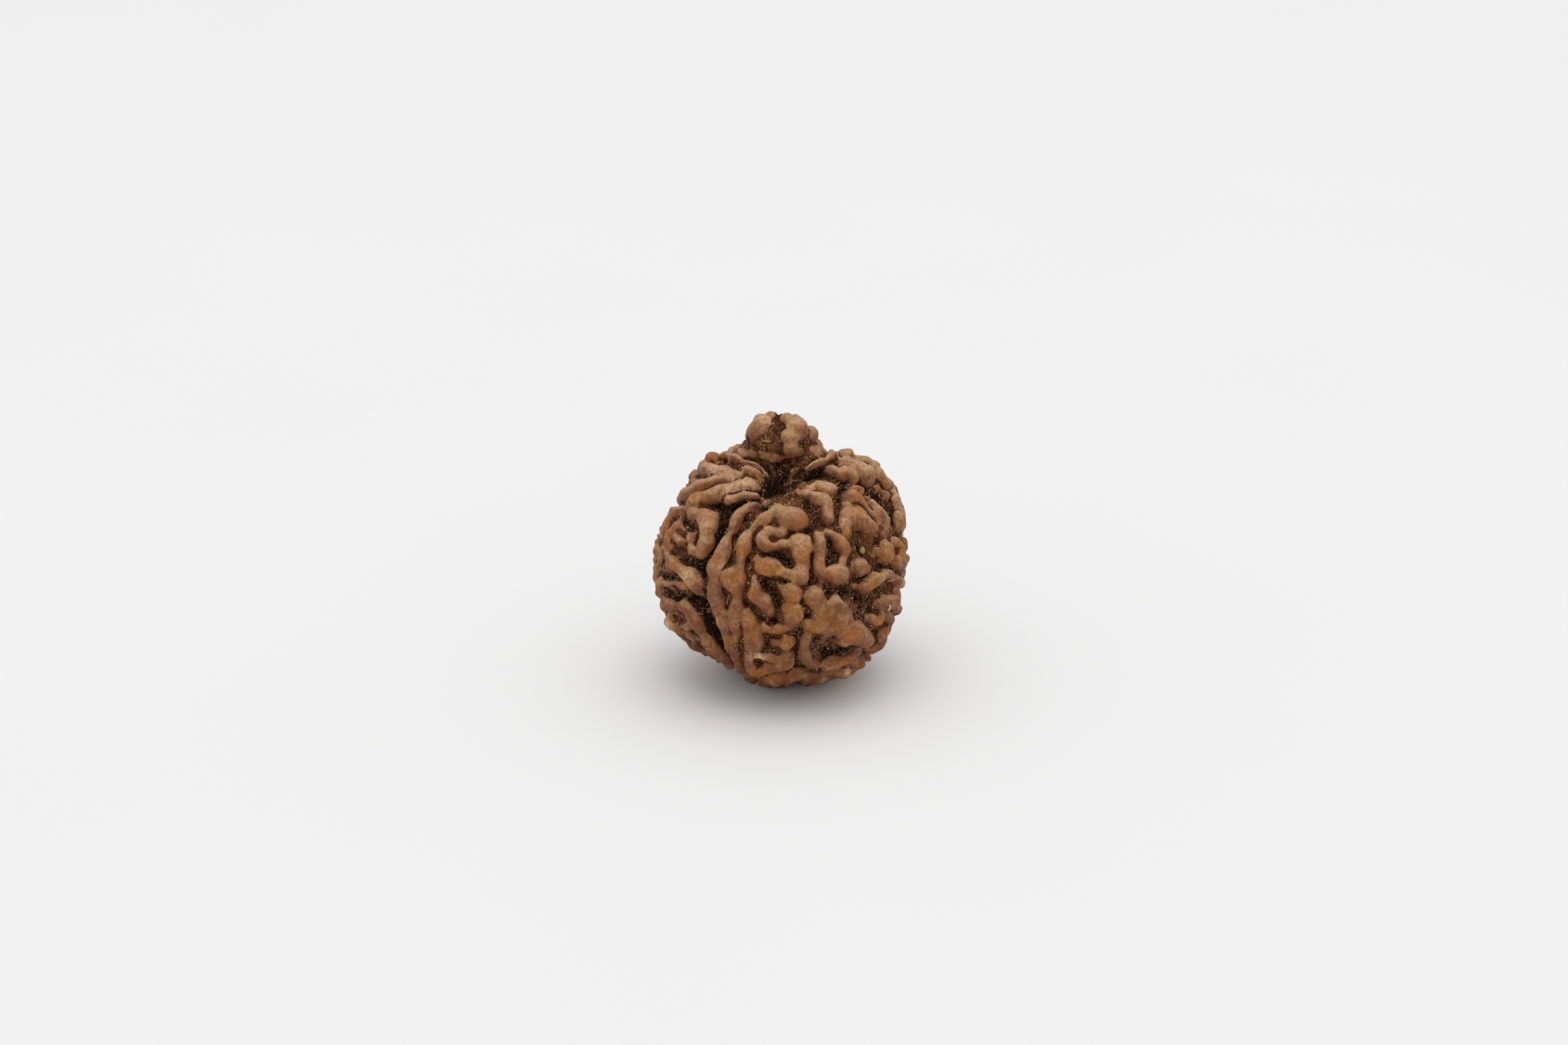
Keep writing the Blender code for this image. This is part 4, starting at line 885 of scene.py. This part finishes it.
# Each kind by name, and how many of them the hidden side gets, as a share of HIDDEN_MARKS
MARKS = (
    ("worn", WORN, 1.0),
    ("dusty", DUSTY, 0.5),
    ("stained", STAINED, 0.4),
    ("dull", DULL, 0.6),
    ("filmed", FILMED, 0.35),
    ("filled", FILLED, 0.0),
    ("hole_shade", HOLE_SHADE, 0.0),
    ("tufted", TUFTS, 0.5),
)
HIDDEN_MARKS = 110
HIDDEN_MARK_WIDTHS = (7, 15)
MARK_SEED = 11
MARK_HEIGHT = 0.0008
STUB_RIM = 0.0003
STUB_LEFT, STUB_RIGHT, STUB_FOOT = 1100, 1225, 682


def mark_places(marks):
    """Middles and radii of marks that the picture shows."""
    found = []
    for x, y, half_width in marks:
        if y < STUB_FOOT and STUB_LEFT < x < STUB_RIGHT:
            middle = meets_ball(x, y, STUB_MIDDLE, sum(STUB_HALF_SIZES) / 3 + STUB_RIM)
        else:
            direction = on_body(x, y, MARK_HEIGHT)
            middle = direction * (float(floor_of_valleys(direction)) + MARK_HEIGHT)
        found.append((middle, half_width * PIXEL))
    return found


def hidden_marks(draw, count):
    """Middles and radii of the same kind of marks where the picture shows none."""
    found = []
    while len(found) < count:
        direction = unit(np.array([draw.gauss(0, 1) for _ in range(3)]))
        if direction @ BACK < FULL_AT:
            middle = direction * (float(floor_of_valleys(direction)) + MARK_HEIGHT)
            found.append((middle, draw.uniform(*HIDDEN_MARK_WIDTHS) * PIXEL))
    return found


def set_marks(mesh, places):
    """Stores how strongly each kind of mark shows at each corner."""
    draw = random.Random(MARK_SEED)
    for name, marks, share in MARKS:
        strength = np.zeros(len(places))
        for middle, radius in mark_places(marks) + hidden_marks(draw, int(HIDDEN_MARKS * share)):
            away = np.linalg.norm(places - middle, axis=1)
            strength = np.maximum(strength, fall(away, radius))
        set_attribute(mesh, name, strength)


def placed(name, mesh, look):
    """A smooth object of this mesh and material, in the scene."""
    mesh.materials.clear()
    mesh.materials.append(look)
    mesh.polygons.foreach_set("use_smooth", np.ones(len(mesh.polygons), bool))
    piece = bpy.data.objects.new(name, mesh)
    bpy.context.scene.collection.objects.link(piece)
    return piece


CLOSE_ROUNDS = 5
WIDE_ROUNDS = 45
MILLIMETRES = 1000

stone_mesh = fine_stone()
places = corners_of(stone_mesh)
middle_of_box = (places.min(axis=0) + places.max(axis=0)) / 2
SHIFT = np.array((-middle_of_box[0], -middle_of_box[1], FLOOR_DISTANCE))
edges = np.empty(len(stone_mesh.edges) * 2, np.int32)
stone_mesh.edges.foreach_get("vertices", edges)
edges = edges.reshape(-1, 2)
outward = normals_of(stone_mesh)
close_mean = smoothed(places, edges, CLOSE_ROUNDS)
wide_mean = smoothed(close_mean, edges, WIDE_ROUNDS)
set_attribute(stone_mesh, "above", height_above_valleys(places) * MILLIMETRES)
set_attribute(stone_mesh, "bulge", ((places - close_mean) * outward).sum(axis=1) * MILLIMETRES)
set_attribute(stone_mesh, "swell", ((places - wide_mean) * outward).sum(axis=1) * MILLIMETRES)
set_attribute(stone_mesh, "sunk", depth_of_hollows(places) * MILLIMETRES)
set_attribute(stone_mesh, "facing", outward[:, 2])
set_marks(stone_mesh, places)
places = places + SHIFT
places[:, 2] = np.maximum(places[:, 2], 0.0)
put_corners(stone_mesh, places)


class Value:
    """A socket in a material, on which arithmetic makes the next node."""

    def __init__(self, tree, socket):
        self.tree = tree
        self.socket = socket

    def node(self, kind, settings, inputs, output=0):
        """A node of the same material: its settings first, then the numbers or sockets that go in."""
        made = self.tree.nodes.new("ShaderNode" + kind)
        for name, setting in settings.items():
            setattr(made, name, setting)
        for name, value in inputs.items():
            if isinstance(value, Value):
                self.tree.links.new(value.socket, made.inputs[name])
            else:
                made.inputs[name].default_value = value
        return Value(self.tree, made.outputs[output])

    def maths(self, operation, *values):
        return self.node("Math", {"operation": operation}, dict(enumerate(values)))

    def __add__(self, other):
        return self.maths("ADD", self, other)

    def __radd__(self, other):
        return self.maths("ADD", other, self)

    def __sub__(self, other):
        return self.maths("SUBTRACT", self, other)

    def __rsub__(self, other):
        return self.maths("SUBTRACT", other, self)

    def __mul__(self, other):
        return self.maths("MULTIPLY", self, other)

    def __rmul__(self, other):
        return self.maths("MULTIPLY", other, self)

    def at_least(self, other):
        return self.maths("MAXIMUM", self, other)

    def at_most(self, other):
        return self.maths("MINIMUM", self, other)

    def between(self, low, high):
        """0 below low, 1 above high, and a smooth rise between them."""
        return self.node("MapRange", {"interpolation_type": "SMOOTHSTEP"}, {0: self, 1: low, 2: high})

    def attribute(self, name):
        """A number stored at the mesh's corners."""
        return self.node("Attribute", {"attribute_name": name}, {}, "Fac")

    def place(self):
        """Where on the object the shaded point is, in metres."""
        return self.node("TexCoord", {}, {}, "Object")

    def noise(self, length, detail=3.0, roughness=0.55, skew=0.0):
        """Cloudy noise from 0 to 1 whose clouds are about this many metres across."""
        inputs = {"Vector": self.place(), "Scale": 1 / length, "Detail": detail}
        inputs |= {"Roughness": roughness, "Distortion": skew}
        return self.node("TexNoise", {}, inputs)

    def mixed(self, share, first, second):
        """A colour between two, by share."""
        return self.node("Mix", {"data_type": "RGBA"}, {0: share, 6: first, 7: second}, 2)


def tone(red, green, blue, gain=1.0):
    """A colour read in the picture, as the light that a node takes."""
    def linear(level):
        level = level / 255
        return gain * (level / 12.92 if level <= 0.04045 else ((level + 0.055) / 1.055) ** 2.4)
    return (linear(red), linear(green), linear(blue), 1.0)


def new_material(name):
    """An empty surface material: the Principled node, and a first value to build from."""
    material = bpy.data.materials.new(name)
    material.use_nodes = True
    tree = material.node_tree
    surface = tree.nodes["Principled BSDF"]
    return material, surface, Value(tree, None)


def feed(start, surface, inputs):
    """Joins values to the surface's inputs."""
    for name, value in inputs.items():
        start.tree.links.new(value.socket, surface.inputs[name])


SKIN_GAIN = 1.51


def stone_look():
    """Waxy brown skin on the ridges, red-brown walls and dark fibrous valleys, with painted light on faces
    that look up and painted shade on the walls, in the deep hollows and the hole, low down and facing down.
    """
    material, surface, start = new_material("stone")
    above = start.attribute("above")
    bulge = start.attribute("bulge")
    swell = start.attribute("swell")
    facing = start.attribute("facing")
    filled = start.attribute("filled")
    height = start.node("SeparateXYZ", {}, {0: start.place()}, 2)
    wide = start.noise(0.0042, 2.0)
    cloud = start.noise(0.0013, 4.0, 0.6, 0.4)
    patch = start.noise(0.0009, 3.0, 0.6, 0.8)
    fine = start.noise(0.00034, 4.0, 0.62)
    grit = start.noise(0.00013, 2.0, 0.6)
    # How much of the skin shows here: none of it on the valleys' floors
    skin = (above + swell * 0.9 + (cloud - 0.5) * 0.45 - filled * 0.5).between(0.02, 0.24)
    crest = (above * 0.5 + swell * 1.7 + bulge * 2.5 + (cloud - 0.5) * 0.4).between(0.10, 0.60)
    # Painted shade in the deep clefts and hollows, weaker where they are filled
    deep = (start.attribute("sunk") + (cloud - 0.5) * 0.3).between(0.16, 0.60) * above.between(0.60, 0.25)
    deep = deep * (1.0 - filled * 0.8)
    # The skin
    brown = start.mixed(wide.between(0.38, 0.62), tone(119, 77, 49, SKIN_GAIN), tone(138, 98, 66, SKIN_GAIN))
    brown = start.mixed(patch.between(0.46, 0.66) * 0.7, brown, tone(98, 55, 31, SKIN_GAIN))
    dull = start.attribute("dull") * cloud.between(0.3, 0.5)
    brown = start.mixed(dull * 0.8, brown, tone(98, 59, 38, SKIN_GAIN))
    # Faces that look up hold pale dust and painted light from above, most on the crests, and those that look
    # down get painted shade
    dust_and_top_light = facing.between(0.25, 0.90) * (0.24 + crest * 0.42)
    brown = start.mixed(dust_and_top_light, brown, tone(176, 138, 103, SKIN_GAIN))
    brown = start.mixed(facing.between(0.05, -0.75) * 0.6, brown, tone(84, 44, 22, SKIN_GAIN))
    # Painted shade: the stone darker towards the bottom
    brown = start.mixed(height.between(0.0110, 0.0015) * 0.60, brown, tone(92, 50, 25, SKIN_GAIN))
    worn = (start.attribute("worn") * 1.6 * (0.5 + crest) * cloud.between(0.16, 0.42)).at_most(1.0)
    rubbed = worn.at_least(crest * start.noise(0.0026, 2.0).between(0.50, 0.66) * 0.7)
    brown = start.mixed(rubbed * 0.72, brown, tone(146, 90, 36, SKIN_GAIN))
    dust = (start.attribute("dusty") * 1.2).at_least(crest * cloud.between(0.50, 0.72) * 0.35).at_most(1.0)
    brown = start.mixed(dust * fine.between(0.25, 0.5), brown, tone(180, 142, 108, SKIN_GAIN))
    film = start.attribute("filmed") * fine.between(0.38, 0.58)
    brown = start.mixed(film * 0.75, brown, tone(138, 110, 64, SKIN_GAIN))
    # The walls: red-brown, and darker as painted shade where the flanks fall away from the crests
    walls = start.mixed(cloud.between(0.4, 0.65), tone(88, 47, 29, SKIN_GAIN), tone(62, 33, 21, SKIN_GAIN))
    brown = start.mixed(crest.between(0.0, 0.55), walls, brown)
    speckle = fine.between(0.58, 0.42) * 0.30 + grit.between(0.58, 0.40) * 0.18
    brown = start.mixed(speckle, brown, tone(64, 34, 20, SKIN_GAIN))
    stain = start.attribute("stained") * fine.between(0.34, 0.54) * 0.9
    brown = start.mixed(stain, brown, tone(44, 26, 24))
    # The pulp in the valleys, with painted shade laid over it where they are deep
    crust = start.noise(0.00026, 3.0, 0.6, 1.5)
    pulp = start.mixed(filled, tone(32, 18, 12), tone(104, 66, 42))
    pulp = start.mixed(crust.between(0.34, 0.56) * (0.55 + filled * 0.45), pulp, tone(134, 86, 54, 1.4))
    pulp = start.mixed(crust.between(0.53, 0.66) * (0.3 + filled * 0.7), pulp, tone(190, 142, 86, 1.4))
    pulp = start.mixed(start.noise(0.0030, 2.0).between(0.50, 0.66) * 0.5, pulp, tone(104, 46, 32))
    colour = start.mixed(skin, pulp, brown)
    # Painted shade: near-black where the valleys are deep
    colour = start.mixed(deep * 0.85, colour, tone(22, 12, 8))
    # Painted shade: the hole near-black
    colour = start.mixed(start.attribute("hole_shade"), colour, tone(5, 3, 3))
    roughness = 0.88 - skin * 0.30 - crest * 0.14 + (fine - 0.5) * 0.20
    bump = (fine - 0.5) * (1.0 - skin * 0.70) * 0.9 + (grit - 0.5) * (0.5 - skin * 0.30)
    bump = bump + (cloud - 0.5) * 0.35
    normal = start.node("Bump", {}, {"Strength": 1.0, "Distance": 0.00018, "Height": bump})
    feed(start, surface, {"Base Color": colour, "Roughness": roughness, "Normal": normal})
    surface.inputs["Specular IOR Level"].default_value = 0.12
    return material


stone = placed("stone", stone_mesh, stone_look())
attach(stone, "root")
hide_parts("seed")

# The pulp. What is left of the fruit's flesh after the stone was cleaned: curled plant fibres, a few
# hundredths of a millimetre thick, and small crumbs between them, dried onto the floors of the valleys,
# the clefts and the hole's rim.

FIBRE_COUNT = 7600
FIBRE_STATIONS = 5
FIBRE_RADIUS = 0.000040
FIBRE_RADIUS_SHARES = (0.6, 1.3)
FIBRE_LENGTHS = (0.00030, 0.00120)
FIBRE_BEND = 0.75
FIBRE_RISES = (0.00002, 0.00026)
FIBRE_GAP = 0.00001
FIBRE_CLUMPS = 0.0024
FIBRE_LEVEL = 0.00035
HAIR_TIP = 0.35
CRUMB_COUNT = 8200
CRUMB_RADII = (0.00004, 0.00018)
CRUMB_JAGS = (0.55, 1.25)
CRUMB_FLATNESS = (0.55, 1.0)
CRUMB_SITS = (-0.2, 0.7)
CRUMB_CLUMPS = 0.0017
CRUMB_LEVEL = 0.00030
PULP_SEED = 23

# Where pulp lies: how fast it thins out above its level, how hollow the ground is, how it clumps, how much
# more of it there is in the tufts that the picture shows, and the heights over the floor where it starts
LEVEL_FADE = 0.0003
HOLLOWS = (-0.00016, 0.00002)
CLUMP_EDGES = (-0.9, 0.9)
BETWEEN_CLUMPS = 0.25
IN_TUFTS = 2.5
LIFTS = (0.0003, 0.001)

tufted = np.empty(len(places), np.float32)
stone_mesh.attributes["tufted"].data.foreach_get("value", tufted)
hole_shade = np.empty(len(places), np.float32)
stone_mesh.attributes["hole_shade"].data.foreach_get("value", hole_shade)
stone_faces = [tuple(face.vertices) for face in stone_mesh.polygons]
stone_surface = BVHTree.FromPolygons([tuple(place) for place in places], stone_faces)


def pulp_spots(draw, count, clump_length, floor_level):
    """Places on the valleys' floors, more of them where the pulp clumps."""
    built = places - SHIFT
    above = height_above_valleys(built)
    hollow = ((built - wide_mean) * outward).sum(axis=1)
    weight = (1 - ramp(above, floor_level, floor_level + LEVEL_FADE)) * (1 - ramp(hollow, *HOLLOWS))
    clumps = ramp(winding(built, clump_length), *CLUMP_EDGES) ** 1.5
    weight = weight * (BETWEEN_CLUMPS + clumps + IN_TUFTS * tufted)
    weight = weight * ramp(places[:, 2], *LIFTS) * (1 - hole_shade)
    return draw.choice(len(places), size=count, p=weight / weight.sum())


def seen_place(x, y):
    """Where the sight line of a pixel meets the stone, and the way the stone faces there."""
    eye = Vector(EYE + SHIFT)
    place, facing, _, _ = stone_surface.ray_cast(eye, Vector(sight_line(x, y)))
    return place, facing


def add_hair(corners, faces, path, thick):
    """One three-sided hair along (place, up) points, thin at its end."""
    base = len(corners)
    ahead = (path[1][0] - path[0][0]).normalized()
    for number, (place, up) in enumerate(path):
        if number + 1 < len(path):
            ahead = (path[number + 1][0] - place).normalized()
        side = ahead.cross(up).normalized()
        slim = thick * (1.0 if number < len(path) - 1 else HAIR_TIP)
        for n in range(3):
            a = 2 * math.pi * n / 3
            corners.append(place + side * (slim * math.cos(a)) + up * (slim * math.sin(a)))
    for start in range(base, len(corners) - 3, 3):
        for n in range(3):
            m = (n + 1) % 3
            faces.append((start + n, start + 3 + n, start + 3 + m, start + m))
    faces.append((base, base + 1, base + 2))
    faces.append((len(corners) - 1, len(corners) - 2, len(corners) - 3))


# Straws and one white wisp that the picture shows: their routes and half-thickness in its pixels, and how
# pale they are
STRAWS = (
    (((1249, 746), (1257, 748), (1266, 750)), 1.2, 0.80),
    (((1334, 907), (1335, 910), (1333, 914), (1329, 916)), 1.1, 1.30),
    (((1209, 704), (1214, 700), (1221, 695), (1232, 690)), 1.6, 0.92),
    (((1201, 737), (1207, 733), (1214, 731), (1220, 732)), 1.1, 1.05),
    (((1255, 733), (1259, 730), (1262, 733)), 1.0, 1.10),
    (((1122, 717), (1129, 718), (1134, 721), (1140, 725)), 1.0, 1.05),
    (((1124, 694), (1134, 697), (1143, 703), (1148, 709)), 1.2, 0.88),
    (((1273, 898), (1272, 903), (1273, 908)), 1.3, 0.78),
    (((1031, 791), (1036, 795)), 1.8, 0.92),
    (((1043, 795), (1046, 799)), 1.4, 0.85),
    (((1151, 652), (1157, 645), (1161, 637)), 1.0, 0.80),
    (((1143, 660), (1150, 663), (1158, 661)), 1.2, 0.90),
    (((1238, 838), (1246, 841), (1252, 839)), 1.1, 0.86),
)


def fibre_mesh(count, seed):
    """Three-sided curled hairs that keep close to the stone."""
    draw = np.random.default_rng(seed)
    corners, faces, tints = [], [], []
    for spot in pulp_spots(draw, count, FIBRE_CLUMPS, FIBRE_LEVEL):
        place = Vector(places[spot])
        normal = Vector(outward[spot])
        heading = normal.cross(Vector(draw.normal(size=3))).normalized()
        length = draw.uniform(*FIBRE_LENGTHS)
        bend = draw.normal(0, FIBRE_BEND)
        rise = draw.uniform(*FIBRE_RISES) * draw.uniform(0.2, 1)
        path = []
        for station in range(FIBRE_STATIONS):
            share = station / (FIBRE_STATIONS - 1)
            near, up, _, _ = stone_surface.find_nearest(place)
            up = up if up.dot(normal) > 0 else normal
            arch = math.sin(math.pi * min(1.0, 0.15 + share))
            path.append((near + up * (FIBRE_GAP + rise * arch), up))
            heading = Matrix.Rotation(bend, 3, up) @ (heading - up * heading.dot(up)).normalized()
            place = near + heading * (length / (FIBRE_STATIONS - 1))
        add_hair(corners, faces, path, FIBRE_RADIUS * draw.uniform(*FIBRE_RADIUS_SHARES))
        tints += [draw.uniform(0, 1)] * (3 * FIBRE_STATIONS)
    for pixels, half_thickness, tint in STRAWS:
        thick = half_thickness * PIXEL
        seen = [seen_place(x, y) for x, y in pixels]
        path = [(place + up * thick, up) for place, up in seen]
        add_hair(corners, faces, path, thick)
        tints += [tint] * (3 * len(path))
    mesh = bpy.data.meshes.new("fibres")
    mesh.from_pydata(corners, [], faces)
    set_attribute(mesh, "tint", np.array(tints))
    return mesh


def crumb_mesh(count, seed):
    """Small irregular lumps, half sunk in the valleys' floors."""
    draw = np.random.default_rng(seed)
    ball = bmesh.new()
    bmesh.ops.create_icosphere(ball, subdivisions=1, radius=1.0)
    shape = np.array([v.co for v in ball.verts])
    sides = np.array([[v.index for v in f.verts] for f in ball.faces])
    ball.free()
    chosen = pulp_spots(draw, count, CRUMB_CLUMPS, CRUMB_LEVEL)
    least, most = CRUMB_RADII
    radii = least + (most - least) * draw.uniform(0, 1, count) ** 2.0
    corners = np.empty((count, len(shape), 3))
    for number, spot in enumerate(chosen):
        jagged = shape * draw.uniform(*CRUMB_JAGS, (len(shape), 1)) * draw.uniform(*CRUMB_FLATNESS, 3)
        spin = np.array(Matrix.Rotation(draw.uniform(0, 6.28), 3, Vector(unit(draw.normal(size=3)))))
        sit = places[spot] + outward[spot] * radii[number] * draw.uniform(*CRUMB_SITS)
        corners[number] = sit + jagged @ spin.T * radii[number]
    faces = (sides[None, :, :] + len(shape) * np.arange(count)[:, None, None]).reshape(-1, 3)
    mesh = bpy.data.meshes.new("crumbs")
    mesh.from_pydata(corners.reshape(-1, 3).tolist(), [], faces.tolist())
    set_attribute(mesh, "tint", np.repeat(draw.uniform(0, 1, count), len(shape)))
    return mesh


def fibre_look():
    """Dry plant fibre: straw and brown, dull."""
    material, surface, start = new_material("fibres")
    tint = start.attribute("tint")
    fine = start.noise(0.00025, 2.0)
    colour = start.mixed(tint.between(0.25, 0.75), tone(70, 41, 24), tone(156, 108, 62))
    colour = start.mixed(tint.between(0.84, 0.96), colour, tone(222, 180, 116, 1.1))
    colour = start.mixed(fine.between(0.45, 0.7) * 0.5, colour, tone(92, 54, 30))
    colour = start.mixed(tint.between(1.0, 1.2), colour, tone(250, 240, 222))
    grain = start.noise(0.00006, 2.0)
    bump = start.node("Bump", {}, {"Strength": 0.5, "Distance": 0.00001, "Height": grain})
    feed(start, surface, {"Base Color": colour, "Roughness": 0.95 - fine * 0.3, "Normal": bump})
    return material


def crumb_look():
    """Dry pulp crumbs: dark to red-brown, a few of them straw-coloured."""
    material, surface, start = new_material("crumbs")
    tint = start.attribute("tint")
    fine = start.noise(0.00012, 3.0)
    colour = start.mixed(tint.between(0.1, 0.8), tone(56, 32, 21), tone(146, 94, 58))
    colour = start.mixed(tint.between(0.78, 0.90), colour, tone(208, 162, 102, 1.1))
    colour = start.mixed(fine.between(0.45, 0.7) * 0.5, colour, tone(66, 38, 26))
    bump = start.node("Bump", {}, {"Strength": 0.8, "Distance": 0.00003, "Height": fine})
    feed(start, surface, {"Base Color": colour, "Roughness": 1.0 - fine * 0.25, "Normal": bump})
    return material


fibres = placed("fibres", fibre_mesh(FIBRE_COUNT, PULP_SEED), fibre_look())
crumbs = placed("crumbs", crumb_mesh(CRUMB_COUNT, PULP_SEED + 1), crumb_look())
for piece in (fibres, crumbs):
    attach(piece, "root")

# The speck. A pale yellow seed of some small plant, half a millimetre long, that dropped into the hollow
# on the right and stuck in its pulp.

SPECK_IN_PICTURE = (1293.5, 825)
SPECK_HALF_SIZES = (4.6, 4.0, 6.2)
SPECK_SINK = 0.3


def speck_look():
    """Smooth seed coat, pale yellow with ochre clouds."""
    material, surface, start = new_material("speck")
    fine = start.noise(0.00020, 3.0)
    colour = start.mixed(fine.between(0.40, 0.62), tone(206, 178, 108), tone(168, 138, 66))
    bump = start.node("Bump", {}, {"Strength": 0.6, "Distance": 0.00002, "Height": fine})
    feed(start, surface, {"Base Color": colour, "Roughness": 0.45 + fine * 0.3, "Normal": bump})
    return material


speck_shape = bmesh.new()
bmesh.ops.create_icosphere(speck_shape, subdivisions=3, radius=1.0)
speck_place, speck_up = seen_place(*SPECK_IN_PICTURE)
for corner in speck_shape.verts:
    reaches = zip((RIGHT, BACK, UP), SPECK_HALF_SIZES, corner.co)
    offset = sum(axis * size * share for axis, size, share in reaches)
    lift = SPECK_HALF_SIZES[1] * PIXEL * (1 - SPECK_SINK)
    corner.co = speck_place + speck_up * lift + Vector(offset * PIXEL)
speck_mesh = bpy.data.meshes.new("speck")
speck_shape.to_mesh(speck_mesh)
speck_shape.free()
speck = placed("speck", speck_mesh, speck_look())
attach(speck, "root")

# The tabletop, the light and the camera. A matt off-white sheet, one wide soft lamp straight overhead, and
# a white room that fills the shadows. The camera is the picture's: a 90 mm lens, tilted down by 22 degrees.

SHEET_REACH = 3


def sheet_look():
    """Matt off-white card with faint clouds."""
    material, surface, start = new_material("sheet")
    cloud = start.noise(0.05, 2.0)
    colour = start.mixed(cloud, tone(236, 236, 236), tone(238, 238, 238))
    feed(start, surface, {"Base Color": colour, "Roughness": 0.7 + cloud * 0.2})
    surface.inputs["Specular IOR Level"].default_value = 0.15
    return material


sheet_mesh = bpy.data.meshes.new("sheet")
sheet_corners = [(x * SHEET_REACH, y * SHEET_REACH, 0) for x, y in ((-1, -1), (1, -1), (1, 1), (-1, 1))]
sheet_mesh.from_pydata(sheet_corners, [], [(0, 1, 2, 3)])
sheet = placed("sheet", sheet_mesh, sheet_look())

world = bpy.data.worlds.new("room")
world.use_nodes = True
background = world.node_tree.nodes["Background"]
background.inputs["Color"].default_value = (1.0, 1.0, 1.0, 1.0)
background.inputs["Strength"].default_value = 0.80
bpy.context.scene.world = world

lamp_data = bpy.data.lights.new("lamp", "AREA")
lamp_data.shape = "DISK"
lamp_data.size = 0.95
lamp_data.energy = 2.6
lamp = bpy.data.objects.new("lamp", lamp_data)
lamp.location = (0.02, -0.01, 0.9)
bpy.context.scene.collection.objects.link(lamp)

camera_data = bpy.data.cameras.new("camera")
camera_data.lens = 90
camera_data.sensor_width = 36
camera_data.clip_start = 0.01
camera = bpy.data.objects.new("camera", camera_data)
turn = Matrix([(RIGHT[n], UP[n], BACK[n]) for n in range(3)]).to_4x4()
camera.matrix_world = Matrix.Translation(EYE + SHIFT) @ turn
bpy.context.scene.collection.objects.link(camera)
bpy.context.scene.camera = camera
bpy.context.scene.view_settings.view_transform = "Standard"
